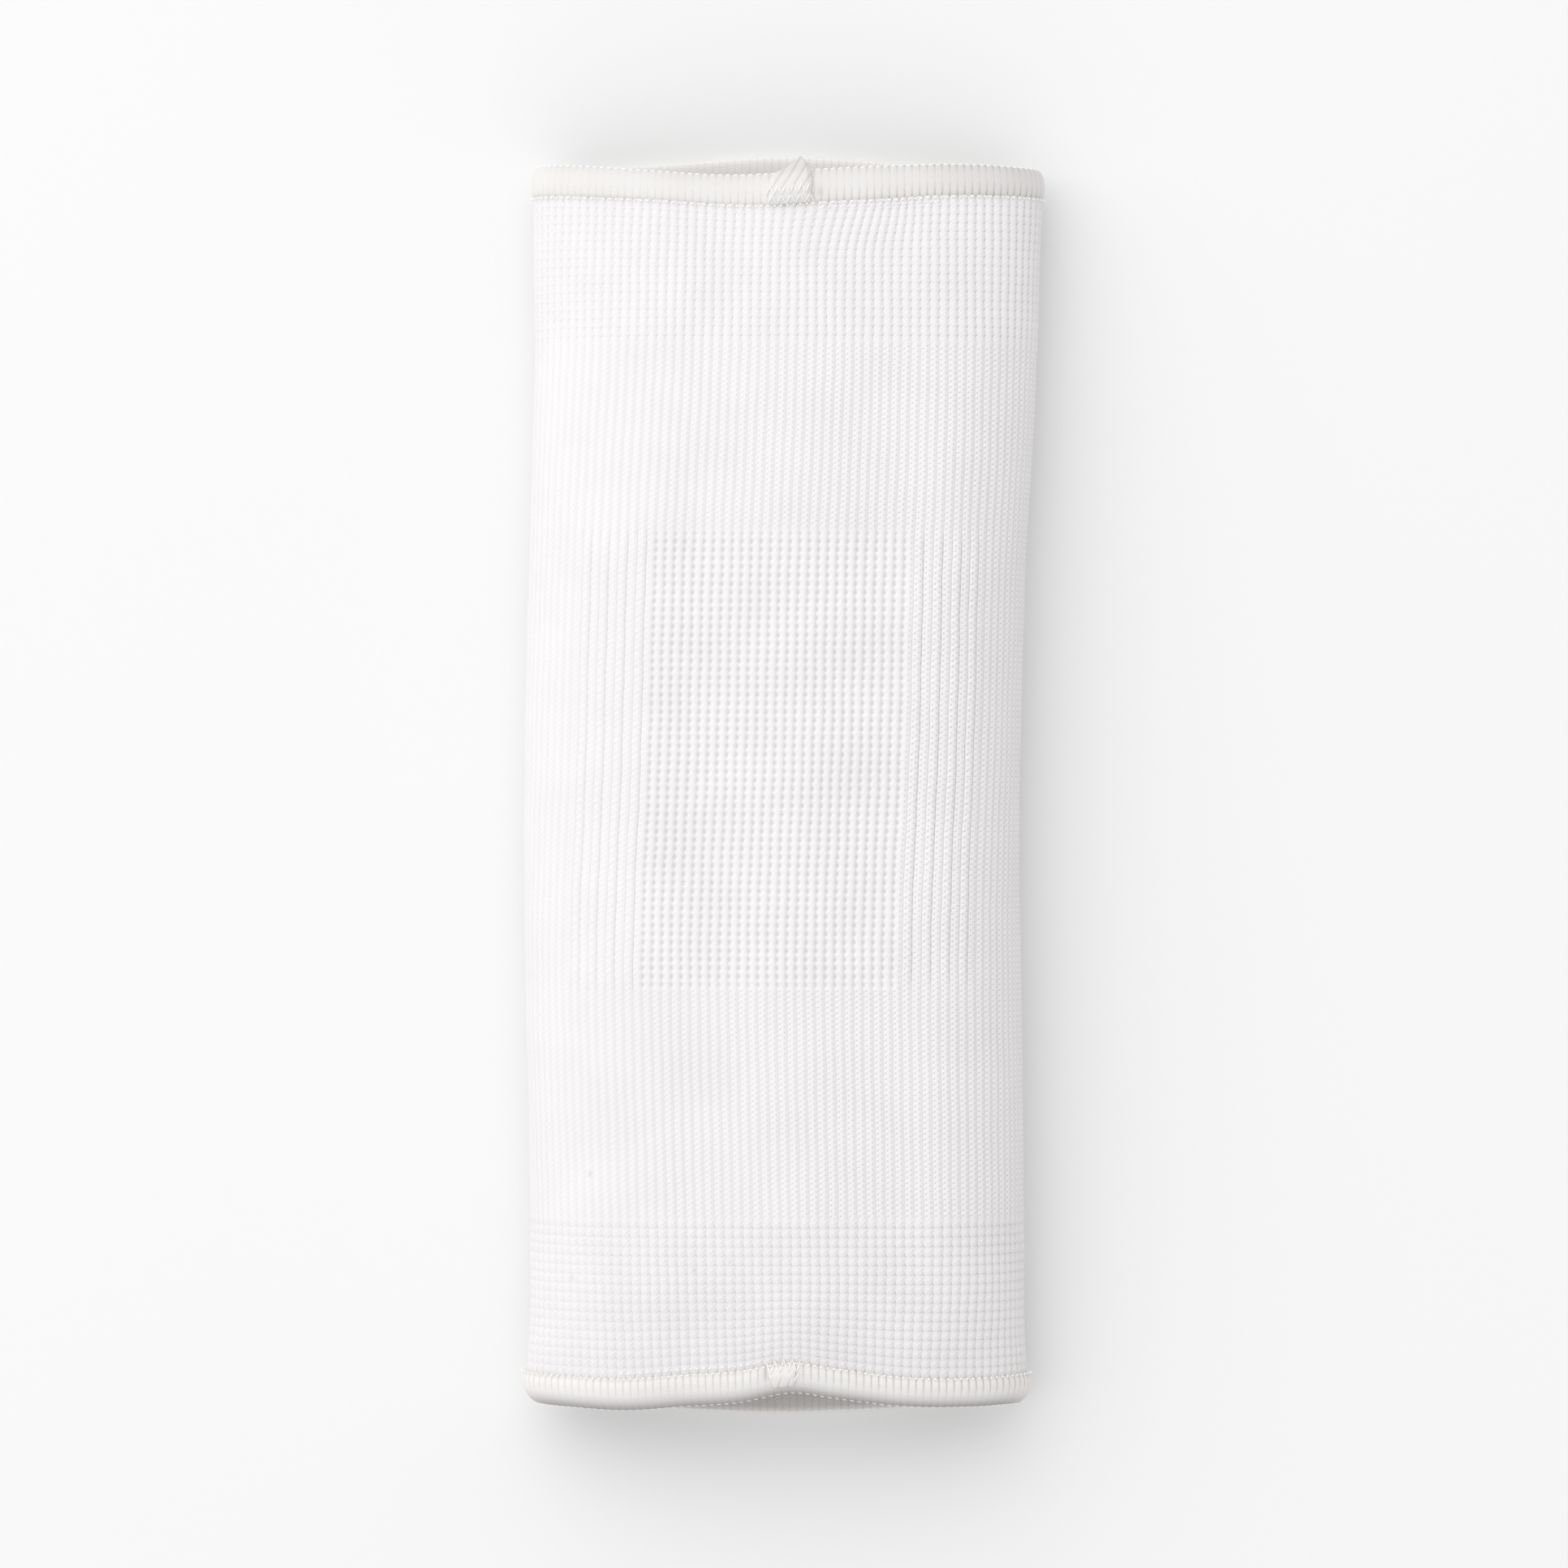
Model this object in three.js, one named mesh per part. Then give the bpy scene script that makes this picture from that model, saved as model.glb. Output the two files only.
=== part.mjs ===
// A knitted knee pad: a tube of elastic rib knit with an elastic band bound round each rim. It lies on its
// padded front, with the back of the knee up. Millimetres, +Z up, +X across and +Y towards the thigh. The
// origin is the middle of the underside of the box that the whole pad fills.
import * as THREE from "three";

// The knitted tube as it lies
const tubeLength = 296; // from rim to rim, along the sides
const tubeWidth = 119; // across the middle, outside to outside
const tubeHeight = 38.5; // at the middle, over the surface that it lies on
const wallThickness = 2; // double rib knit
const walesAround = 120; // upright columns of stitches in the whole girth

// The padded front of the knee, a thickening on the inside of the wall that the tube lies on
const padThickness = 5;
const padWidth = 84;
const padLength = 128;
const padEdge = 20; // width over which the padding fades out

// The open-mesh window behind the knee, and the raised cords on both sides of it
const windowLength = 109;
const windowOffset = 6; // from the middle of the tube towards the thigh
const windowWales = 27; // width of the window, in columns of stitches
const windowRecess = 0.3;
const cordsEachSide = 4;
const cordWales = 2; // columns of stitches from one cord to the next
const cordWidth = 2.6;
const cordHeight = 0.45;
const reliefFade = 4; // length over which the cords and the recess come up at their ends

// The elastic bands round the rims: how far they stand out of the knit, and how far their free edge curls in
const bandHeight = 7.4;
const upperBand = { thickness: 2.4, proud: 0.6, curl: 0.5 };
const lowerBand = { thickness: 3.2, proud: 1.5, curl: 2.6 };
const bandRunIn = 22; // length over which the knit comes down from a band to the surface it lies on

// Where the two ends of a band meet on the upper side, one end lies over the other
const upperOverlap = { width: 9, thickness: 1.3, shift: -0.5 };
const lowerOverlap = { width: 7, thickness: 0.8, shift: 2.2 };

const seamGap = 0.3; // clearance between neighbouring pieces

// Fineness of the faceted surfaces
const sleeveColumns = 46;
const sleeveRows = 25;
const bandColumns = 76;
const overlapColumns = 7;
const turnSteps = 14;

// Outline of the tube from place to place. at runs from -1 at the calf rim to 1 at the thigh rim. left and
// right are the widest points as shares of half the width, height is a share of tubeHeight, and waist is how
// high the widest points lie, as a share of the height there.
const sections = [
  { at: -1.02, left: 1.02, right: 1, height: 0.79, waist: 0.44 },
  { at: -0.95, left: 1.018, right: 0.993, height: 0.84, waist: 0.42 },
  { at: -0.89, left: 1.01, right: 0.985, height: 0.9, waist: 0.4 },
  { at: -0.78, left: 1.005, right: 0.983, height: 0.96, waist: 0.38 },
  { at: -0.57, left: 1.01, right: 0.98, height: 0.985, waist: 0.38 },
  { at: -0.33, left: 1.024, right: 0.972, height: 1, waist: 0.38 },
  { at: -0.1, left: 1.03, right: 0.963, height: 1, waist: 0.38 },
  { at: 0.14, left: 1.024, right: 0.973, height: 1, waist: 0.38 },
  { at: 0.38, left: 1.008, right: 0.992, height: 0.985, waist: 0.38 },
  { at: 0.53, left: 0.998, right: 1.016, height: 0.955, waist: 0.39 },
  { at: 0.69, left: 0.987, right: 1.034, height: 0.9, waist: 0.41 },
  { at: 0.85, left: 0.992, right: 1.047, height: 0.83, waist: 0.43 },
  { at: 0.95, left: 0.993, right: 1.058, height: 0.78, waist: 0.44 },
  { at: 1.02, left: 0.993, right: 1.06, height: 0.76, waist: 0.45 },
];

// How the upper side turns over into the two flanks. left and right are how far in from each flank the
// flat crown starts, and drift is how far the middle column of stitches lies from the middle of the width,
// all as shares of half the width.
const shoulders = [
  { at: -1, left: 0.6, right: 0.45, drift: -0.012 },
  { at: -0.33, left: 0.6, right: 0.39, drift: -0.023 },
  { at: 0.38, left: 0.61, right: 0.42, drift: 0.011 },
  { at: 0.69, left: 0.66, right: 0.48, drift: 0.01 },
  { at: 1, left: 0.7, right: 0.5, drift: 0.014 },
];
const footShare = 0.24; // how far in from each flank the flat underside starts, as a share of half the width
const crownShare = 0.04; // how far the middle of the crown rises, as a share of tubeHeight

// How far each rim stands out past the end of the tube. around is a share of the girth from the middle
// column of the upper side, positive to the right, and out is a share of the band's height.
const upperRim = [
  { around: -0.5, out: 0.49 },
  { around: -0.4, out: 0.27 },
  { around: -0.29, out: 0.02 },
  { around: -0.2, out: -0.15 },
  { around: -0.12, out: -0.28 },
  { around: -0.06, out: -0.38 },
  { around: -0.015, out: -0.34 },
  { around: 0.02, out: -0.22 },
  { around: 0.07, out: -0.14 },
  { around: 0.15, out: -0.08 },
  { around: 0.26, out: -0.08 },
  { around: 0.4, out: 0.27 },
];
const lowerRim = [
  { around: -0.5, out: 0.46 },
  { around: -0.4, out: 0.33 },
  { around: -0.27, out: -0.02 },
  { around: -0.19, out: 0.01 },
  { around: -0.135, out: 0.07 },
  { around: -0.08, out: -0.05 },
  { around: -0.032, out: -0.15 },
  { around: 0.015, out: -0.45 },
  { around: 0.055, out: -0.27 },
  { around: 0.115, out: -0.01 },
  { around: 0.18, out: 0.04 },
  { around: 0.24, out: 0.02 },
  { around: 0.4, out: 0.33 },
];

// Cross-section of a band from its seam up the outside and down the inside. up is a share of its height, and
// out a share of its thickness from its inner face.
const bandProfile = [
  { up: 0, out: 0.4 },
  { up: 0.05, out: 0.82 },
  { up: 0.3, out: 1 },
  { up: 0.7, out: 1 },
  { up: 0.94, out: 0.78 },
  { up: 1, out: 0.5 },
  { up: 0.95, out: 0.16 },
  { up: 0.6, out: 0 },
  { up: 0.08, out: 0.06 },
];

// Outlines of the overlapping band ends, row by row. up is a share of the band's height, out the share of
// its thickness that the end lies on, and from and to are shares of the overlap's width. The upper end is
// folded on the slant and peaks above the rim.
const upperOverlapRows = [
  { up: 0.05, out: 0.82, from: -0.5, to: 0.5 },
  { up: 0.3, out: 1, from: -0.46, to: 0.5 },
  { up: 0.7, out: 1, from: -0.3, to: 0.48 },
  { up: 0.94, out: 0.78, from: 0, to: 0.44 },
  { up: 1.15, out: 0.78, from: 0.16, to: 0.4 },
  { up: 1.36, out: 0.78, from: 0.24, to: 0.32 },
];
const lowerOverlapRows = [
  { up: 0.05, out: 0.82, from: -0.5, to: 0.5 },
  { up: 0.3, out: 1, from: -0.46, to: 0.42 },
  { up: 0.7, out: 1, from: -0.3, to: 0.3 },
];

// Value of a table's column at a key, on a smooth curve through its rows.
function lookUp(rows, keyName, columnName, key) {
  const last = rows.length - 1;
  let row = 0;
  while (row < last - 1 && rows[row + 1][keyName] < key) row += 1;
  const slopeAt = (index) => {
    const before = rows[Math.max(index - 1, 0)];
    const after = rows[Math.min(index + 1, last)];
    return (after[columnName] - before[columnName]) / (after[keyName] - before[keyName]);
  };
  const span = rows[row + 1][keyName] - rows[row][keyName];
  const t = THREE.MathUtils.clamp((key - rows[row][keyName]) / span, 0, 1);
  const plain = THREE.MathUtils.lerp(rows[row][columnName], rows[row + 1][columnName], t * t * (3 - 2 * t));
  return plain + t * (1 - t) * span * ((1 - t) * slopeAt(row) - t * slopeAt(row + 1));
}

// The same for a table whose key is a share of the girth, which wraps round after one turn.
function lookUpRound(rows, columnName, around) {
  const turns = [-1, 0, 1].flatMap((turn) => rows.map((row) => ({ ...row, around: row.around + turn })));
  return lookUp(turns, "around", columnName, centred(around));
}

// A share of the girth as the one between -0.5 and 0.5 that names the same place.
function centred(around) {
  return THREE.MathUtils.euclideanModulo(around + 0.5, 1) - 0.5;
}

// Quarter of an ellipse, clockwise from an angle.
function quarterTurn(centreX, centreZ, radiusX, radiusZ, from) {
  return Array.from({ length: turnSteps + 1 }, (_, step) => {
    const angle = from - (step / turnSteps) * (Math.PI / 2);
    return new THREE.Vector2(centreX + radiusX * Math.cos(angle), centreZ + radiusZ * Math.sin(angle));
  });
}

// How high the tube's underside lies at a place: on the surface, or as high as the band beside it is proud.
function undersideAt(y) {
  const proud = y > 0 ? upperBand.proud : lowerBand.proud;
  const seam = tubeLength / 2 - bandHeight;
  return proud * THREE.MathUtils.smoothstep(Math.abs(y), seam - bandRunIn, seam);
}

// Outer outline of the tube at a place along it: points from the middle column of stitches over the right
// flank, the underside and the left flank back to that column, and the length run up to each.
function outlineAt(y) {
  const at = y / (tubeLength / 2);
  const half = tubeWidth / 2;
  const left = -half * lookUp(sections, "at", "left", at);
  const right = half * lookUp(sections, "at", "right", at);
  const crownLeft = left + half * lookUp(shoulders, "at", "left", at);
  const crownRight = right - half * lookUp(shoulders, "at", "right", at);
  const middle = (left + right) / 2 + half * lookUp(shoulders, "at", "drift", at);
  const underside = undersideAt(y);
  const crown = tubeHeight * (lookUp(sections, "at", "height", at) - crownShare);
  const waist = underside + (crown - underside) * lookUp(sections, "at", "waist", at);
  const foot = half * footShare;
  const over = crown - waist;
  const under = waist - underside;
  const crownRun = (from, to) =>
    Array.from({ length: turnSteps + 1 }, (_, step) => {
      const x = THREE.MathUtils.lerp(from, to, step / turnSteps);
      const share = (x - crownLeft) / (crownRight - crownLeft);
      return new THREE.Vector2(x, crown + tubeHeight * crownShare * Math.sin(Math.PI * share) ** 2);
    });
  const points = [
    ...crownRun(middle, crownRight),
    ...quarterTurn(crownRight, waist, right - crownRight, over, Math.PI / 2),
    ...quarterTurn(right - foot, waist, foot, under, 0),
    ...quarterTurn(left + foot, waist, foot, under, -Math.PI / 2),
    ...quarterTurn(crownLeft, waist, crownLeft - left, over, -Math.PI),
    ...crownRun(crownLeft, middle),
  ];
  const run = [0];
  points.slice(1).forEach((point, index) => run.push(run[index] + point.distanceTo(points[index])));
  return { points, run };
}

// Point of the outer skin at a share of the girth and a place along the tube.
function skinPoint(around, y) {
  const { points, run } = outlineAt(y);
  const length = THREE.MathUtils.euclideanModulo(around, 1) * run.at(-1);
  const next = run.findIndex((far) => far > length);
  const share = (length - run[next - 1]) / (run[next] - run[next - 1]);
  const flat = points[next - 1].clone().lerp(points[next], share);
  return new THREE.Vector3(flat.x, y, flat.y);
}

// Point that stands off the outer skin by a height along the skin's own normal.
function liftedPoint(around, y, height) {
  const aroundStep = 0.004;
  const alongStep = 0.5;
  const across = skinPoint(around + aroundStep, y).sub(skinPoint(around - aroundStep, y));
  const along = skinPoint(around, y + alongStep).sub(skinPoint(around, y - alongStep));
  return skinPoint(around, y).addScaledVector(across.cross(along).normalize(), height);
}

// Where the seam between the knit and a band runs. end is 1 at the thigh and -1 at the calf.
function seamAt(end, around) {
  const out = lookUpRound(end > 0 ? upperRim : lowerRim, "out", around);
  return end * (tubeLength / 2 + bandHeight * (out - 1));
}

// Widths as shares of the girth
const girth = outlineAt(0).run.at(-1);
const windowReach = windowWales / 2 / walesAround;
const cordReach = cordWidth / 2 / girth;
const cordFlank = 0.45; // how much of half a cord's width its sloping flank takes
const cordCentres = Array.from({ length: cordsEachSide }, (_, cord) => (cord + 0.5) * (cordWales / walesAround))
  .flatMap((inset) => [-windowReach - inset, windowReach + inset]);

// Height of the knit's own relief over the skin: the cords stand up, and the window lies a little lower.
function reliefAt(around, y) {
  const shown = THREE.MathUtils.smoothstep(windowLength / 2 - Math.abs(y - windowOffset), 0, reliefFade);
  const crest = cordReach * (1 - cordFlank / 2);
  const onCord = cordCentres.some((centre) => Math.abs(centred(around) - centre) < crest);
  const inWindow = Math.abs(centred(around)) < windowReach;
  return shown * ((onCord ? cordHeight : 0) - (inWindow ? windowRecess : 0));
}

// Thickness of the wall, with the padding over the kneecap.
function wallAt(around, y) {
  const fromFront = centred(around + 0.5) * girth;
  const reach = Math.hypot(fromFront / (padWidth / 2), y / (padLength / 2));
  return wallThickness + padThickness * THREE.MathUtils.smoothstep(1 - reach, 0, padEdge / (padWidth / 2));
}

// Evenly spread places with the given ones put in, in order, leaving out even ones that come too close.
function spreadWith(even, placed, clearance) {
  const kept = even.filter((share) => placed.every((place) => Math.abs(share - place) > clearance));
  return [...kept, ...placed].sort((first, second) => first - second);
}

// Shares of the girth at which the knit has a column of vertices, with the cords and the window's edges.
function sleeveShares() {
  const crest = cordReach * (1 - cordFlank);
  const edges = [-cordReach, -crest, crest, cordReach];
  const cords = cordCentres.flatMap((centre) => edges.map((off) => centre + off));
  const windowEdges = [-1, 1].map((side) => side * (windowReach - cordReach / 2));
  const even = Array.from({ length: sleeveColumns }, (_, column) => column / sleeveColumns - 0.5);
  return spreadWith(even, [...windowEdges, ...cords], 0.4 / sleeveColumns);
}

// Places along the knit, as shares of the way from seam to seam, with rows where the relief starts and ends.
function sleeveRowShares() {
  const knitLength = tubeLength - 2 * bandHeight;
  const placed = [-1, 1].flatMap((end) =>
    [0, reliefFade].map((inset) => 0.5 + (windowOffset + end * (windowLength / 2 - inset)) / knitLength),
  );
  const even = Array.from({ length: sleeveRows }, (_, row) => row / (sleeveRows - 1));
  return spreadWith(even, placed, 0.4 / sleeveRows);
}

// Surface from a list of points and a list of corner numbers.
function surface(points, corners) {
  const numbers = points.flatMap((point) => point.toArray());
  const geometry = new THREE.BufferGeometry();
  geometry.setAttribute("position", new THREE.Float32BufferAttribute(numbers, 3));
  geometry.setIndex(corners);
  geometry.computeVertexNormals();
  return geometry;
}

// Closed surface through rings of points, where the last ring joins the first.
function ringSolid(rings) {
  const columns = rings[0].length;
  const corners = [];
  for (let ring = 0; ring < rings.length; ring += 1) {
    const here = ring * columns;
    const there = ((ring + 1) % rings.length) * columns;
    for (let column = 0; column < columns; column += 1) {
      const beside = (column + 1) % columns;
      corners.push(here + column, here + beside, there + beside);
      corners.push(here + column, there + beside, there + column);
    }
  }
  return surface(rings.flat(), corners);
}

// Closed plate between two grids of points, given as rows from left to right, where the upper faces out.
function plateSolid(upper, lower) {
  const rows = upper.length;
  const columns = upper[0].length;
  const top = rows - 1;
  const side = columns - 1;
  const corner = (row, column, level) => (level * rows + row) * columns + column;
  const corners = [];
  const addQuad = (a, b, c, d) => corners.push(a, b, c, a, c, d);
  for (let row = 0; row < top; row += 1) {
    for (let column = 0; column < side; column += 1) {
      const [high, far] = [row + 1, column + 1];
      addQuad(corner(row, column, 0), corner(row, far, 0), corner(high, far, 0), corner(high, column, 0));
      addQuad(corner(row, column, 1), corner(high, column, 1), corner(high, far, 1), corner(row, far, 1));
    }
    addQuad(corner(row, 0, 0), corner(row + 1, 0, 0), corner(row + 1, 0, 1), corner(row, 0, 1));
    addQuad(corner(row, side, 0), corner(row, side, 1), corner(row + 1, side, 1), corner(row + 1, side, 0));
  }
  for (let column = 0; column < side; column += 1) {
    const far = column + 1;
    addQuad(corner(0, column, 0), corner(0, column, 1), corner(0, far, 1), corner(0, far, 0));
    addQuad(corner(top, column, 0), corner(top, far, 0), corner(top, far, 1), corner(top, column, 1));
  }
  return surface([...upper.flat(), ...lower.flat()], corners);
}

// The knitted tube: the outer skin from the calf to the thigh, then the inner skin back again.
function knitSleeve() {
  const shares = sleeveShares();
  const rows = sleeveRowShares();
  const ringAt = (row, heightAt) =>
    shares.map((around) => {
      const y = THREE.MathUtils.lerp(seamAt(-1, around), seamAt(1, around), row);
      return liftedPoint(around, y, heightAt(around, y));
    });
  const outer = rows.map((row) => ringAt(row, reliefAt));
  const inner = rows.map((row) => ringAt(row, (around, y) => -wallAt(around, y)));
  return ringSolid([...outer, ...inner.reverse()]);
}

// Point of a band at a share of its height and of its thickness, lifted further by a height.
function bandPoint(end, band, around, { up, out }, height = 0) {
  const y = seamAt(end, around) + end * (seamGap + up * (bandHeight - seamGap));
  const lift = band.proud - (1 - out) * band.thickness - band.curl * Math.min(up, 1) ** 2;
  return liftedPoint(around, y, lift + height);
}

// An elastic band round a rim of the tube.
function hemBand(end, band) {
  const shares = Array.from({ length: bandColumns }, (_, column) => column / bandColumns - 0.5);
  const rings = bandProfile.map((place) => shares.map((around) => bandPoint(end, band, around, place)));
  return ringSolid(end > 0 ? rings : rings.reverse());
}

// The end of a band that lies over its other end.
function hemOverlap(end, band, overlap, rows) {
  const gridAt = (height) =>
    rows.map((row) =>
      Array.from({ length: overlapColumns }, (_, column) => {
        const share = THREE.MathUtils.lerp(row.from, row.to, column / (overlapColumns - 1));
        return bandPoint(end, band, (overlap.shift + share * overlap.width) / girth, row, height);
      }),
    );
  const under = gridAt(seamGap);
  const over = gridAt(seamGap + overlap.thickness);
  return end > 0 ? plateSolid(over, under) : plateSolid(under, over);
}

// A named piece of the pad.
function piece(name, geometry, material) {
  const mesh = new THREE.Mesh(geometry, material);
  mesh.name = name;
  return mesh;
}

const knitYarn = new THREE.MeshStandardMaterial({ color: 0xf4f2f3, roughness: 0.92, metalness: 0 });
const bandElastic = new THREE.MeshStandardMaterial({ color: 0xf5f3ee, roughness: 0.85, metalness: 0 });

const kneePad = new THREE.Group();
kneePad.add(
  piece("knit_sleeve", knitSleeve(), knitYarn),
  piece("upper_hem_band", hemBand(1, upperBand), bandElastic),
  piece("lower_hem_band", hemBand(-1, lowerBand), bandElastic),
  piece("upper_hem_overlap", hemOverlap(1, upperBand, upperOverlap, upperOverlapRows), bandElastic),
  piece("lower_hem_overlap", hemOverlap(-1, lowerBand, lowerOverlap, lowerOverlapRows), bandElastic),
);

// Brings the origin to the middle of the underside.
const box = new THREE.Box3().setFromObject(kneePad, true);
kneePad.position.set(-(box.min.x + box.max.x) / 2, -(box.min.y + box.max.y) / 2, -box.min.z);

export default kneePad;
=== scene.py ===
"""A white knitted knee pad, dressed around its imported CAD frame.

The pad is a tube of elastic rib knit that lies on its padded front. Its back is up, with an open-mesh window
behind the knee, raised cords on both sides of it, waffle-knit cuffs and a ribbed elastic band round each rim.

Places on the tube are given in wales, the upright columns of stitches. Wale 0 is the middle of the upper
side, wales count up to the right, a groove lies at each whole number and a rib's crest at each half. Sizes
are in millimetres until a mesh is written.
"""
import logging
import math
from dataclasses import dataclass, field
from enum import Enum
from typing import Optional, Sequence

import bpy
import numpy as np
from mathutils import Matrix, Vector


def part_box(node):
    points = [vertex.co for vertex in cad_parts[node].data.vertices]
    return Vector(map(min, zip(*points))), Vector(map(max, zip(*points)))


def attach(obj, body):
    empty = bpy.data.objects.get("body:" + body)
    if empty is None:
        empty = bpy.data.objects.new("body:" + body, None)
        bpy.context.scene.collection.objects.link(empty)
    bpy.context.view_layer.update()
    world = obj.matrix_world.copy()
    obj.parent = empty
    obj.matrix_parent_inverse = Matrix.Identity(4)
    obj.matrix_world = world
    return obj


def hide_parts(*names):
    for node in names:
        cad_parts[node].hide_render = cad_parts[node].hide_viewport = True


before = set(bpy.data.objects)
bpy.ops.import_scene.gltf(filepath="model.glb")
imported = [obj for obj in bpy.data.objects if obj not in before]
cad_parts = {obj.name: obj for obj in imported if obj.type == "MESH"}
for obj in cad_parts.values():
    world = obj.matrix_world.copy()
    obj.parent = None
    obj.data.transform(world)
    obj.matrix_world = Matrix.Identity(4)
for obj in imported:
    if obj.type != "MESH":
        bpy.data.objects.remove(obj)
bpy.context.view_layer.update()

log = logging.getLogger("knee_pad")

MM = 0.001
IMAGE_PIXELS = 1932
WALES_AROUND = 122
HALF_ROUND = WALES_AROUND / 2


class End(Enum):
    """The two ends of the tube, with the sign of their side along Y."""

    THIGH = 1
    CALF = -1


class Cloth(Enum):
    """The record's material slots."""

    KNIT = "rib_knit"
    ELASTIC = "elastic_band"


def smooth_lookup(rows: Sequence[Sequence[float]], column: int, key: np.ndarray) -> np.ndarray:
    """Value of a table's column at each key, on a smooth curve through its rows.

    Between two rows the value is a cubic whose slopes at both ends are the slopes from each row's neighbour
    before to its neighbour after. Past the ends of the table it stays as it is there.

    Args:
        rows: The table. Its first column is the key, in rising order.
        column: Which column to read.
        key: Where to read it.

    Returns:
        The values, in the shape of key.
    """
    table = np.asarray(rows, dtype=float)
    keys, values = table[:, 0], table[:, column]
    order = np.arange(len(keys))
    before, after = np.maximum(order - 1, 0), np.minimum(order + 1, len(keys) - 1)
    slopes = (values[after] - values[before]) / (keys[after] - keys[before])
    row = np.minimum(np.searchsorted(keys[1:], key), len(keys) - 2)
    span = keys[row + 1] - keys[row]
    share = np.clip((key - keys[row]) / span, 0, 1)
    plain = values[row] + (values[row + 1] - values[row]) * share * share * (3 - 2 * share)
    return plain + share * (1 - share) * span * ((1 - share) * slopes[row] - share * slopes[row + 1])


def smoothstep(value: np.ndarray, low: float, high: float) -> np.ndarray:
    """Rises smoothly from 0 at low to 1 at high: 3t² - 2t³ of the share t of the way."""
    share = np.clip((value - low) / (high - low), 0, 1)
    return share * share * (3 - 2 * share)


def mix(first: np.ndarray, second: np.ndarray, share: np.ndarray) -> np.ndarray:
    """The value a share of the way from first to second."""
    return first + (second - first) * share


def bell(value: np.ndarray, middle: float, width: float) -> np.ndarray:
    """Bell curve of height 1: e to the power of minus the squared distance from the middle in widths."""
    return np.exp(-(((value - middle) / width) ** 2))


def bells(rows: Sequence[Sequence[float]], wales: np.ndarray) -> np.ndarray:
    """Sum of bell curves round the tube, each given by its middle wale, its reach and its height."""
    around = (np.asarray(wales) + HALF_ROUND) % WALES_AROUND - HALF_ROUND
    return sum(height * bell(around, middle, reach) for middle, reach, height in rows)


def from_left(wales: np.ndarray) -> np.ndarray:
    """Share of the way from the left flank, 0, to the right one, 1: a sine round the tube.

    It fades the painted shade in grooves and stitch holes, and the holes' bump, towards the left flank: painted
    light on the side facing the lamp.
    """
    return 0.5 + 0.5 * np.sin(2 * np.pi * (wales + 5) / WALES_AROUND)


def near_whole(value: np.ndarray) -> np.ndarray:
    """Distance of each value to the nearest whole number, from 0 to a half."""
    return np.abs(value - np.round(value))


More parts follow.
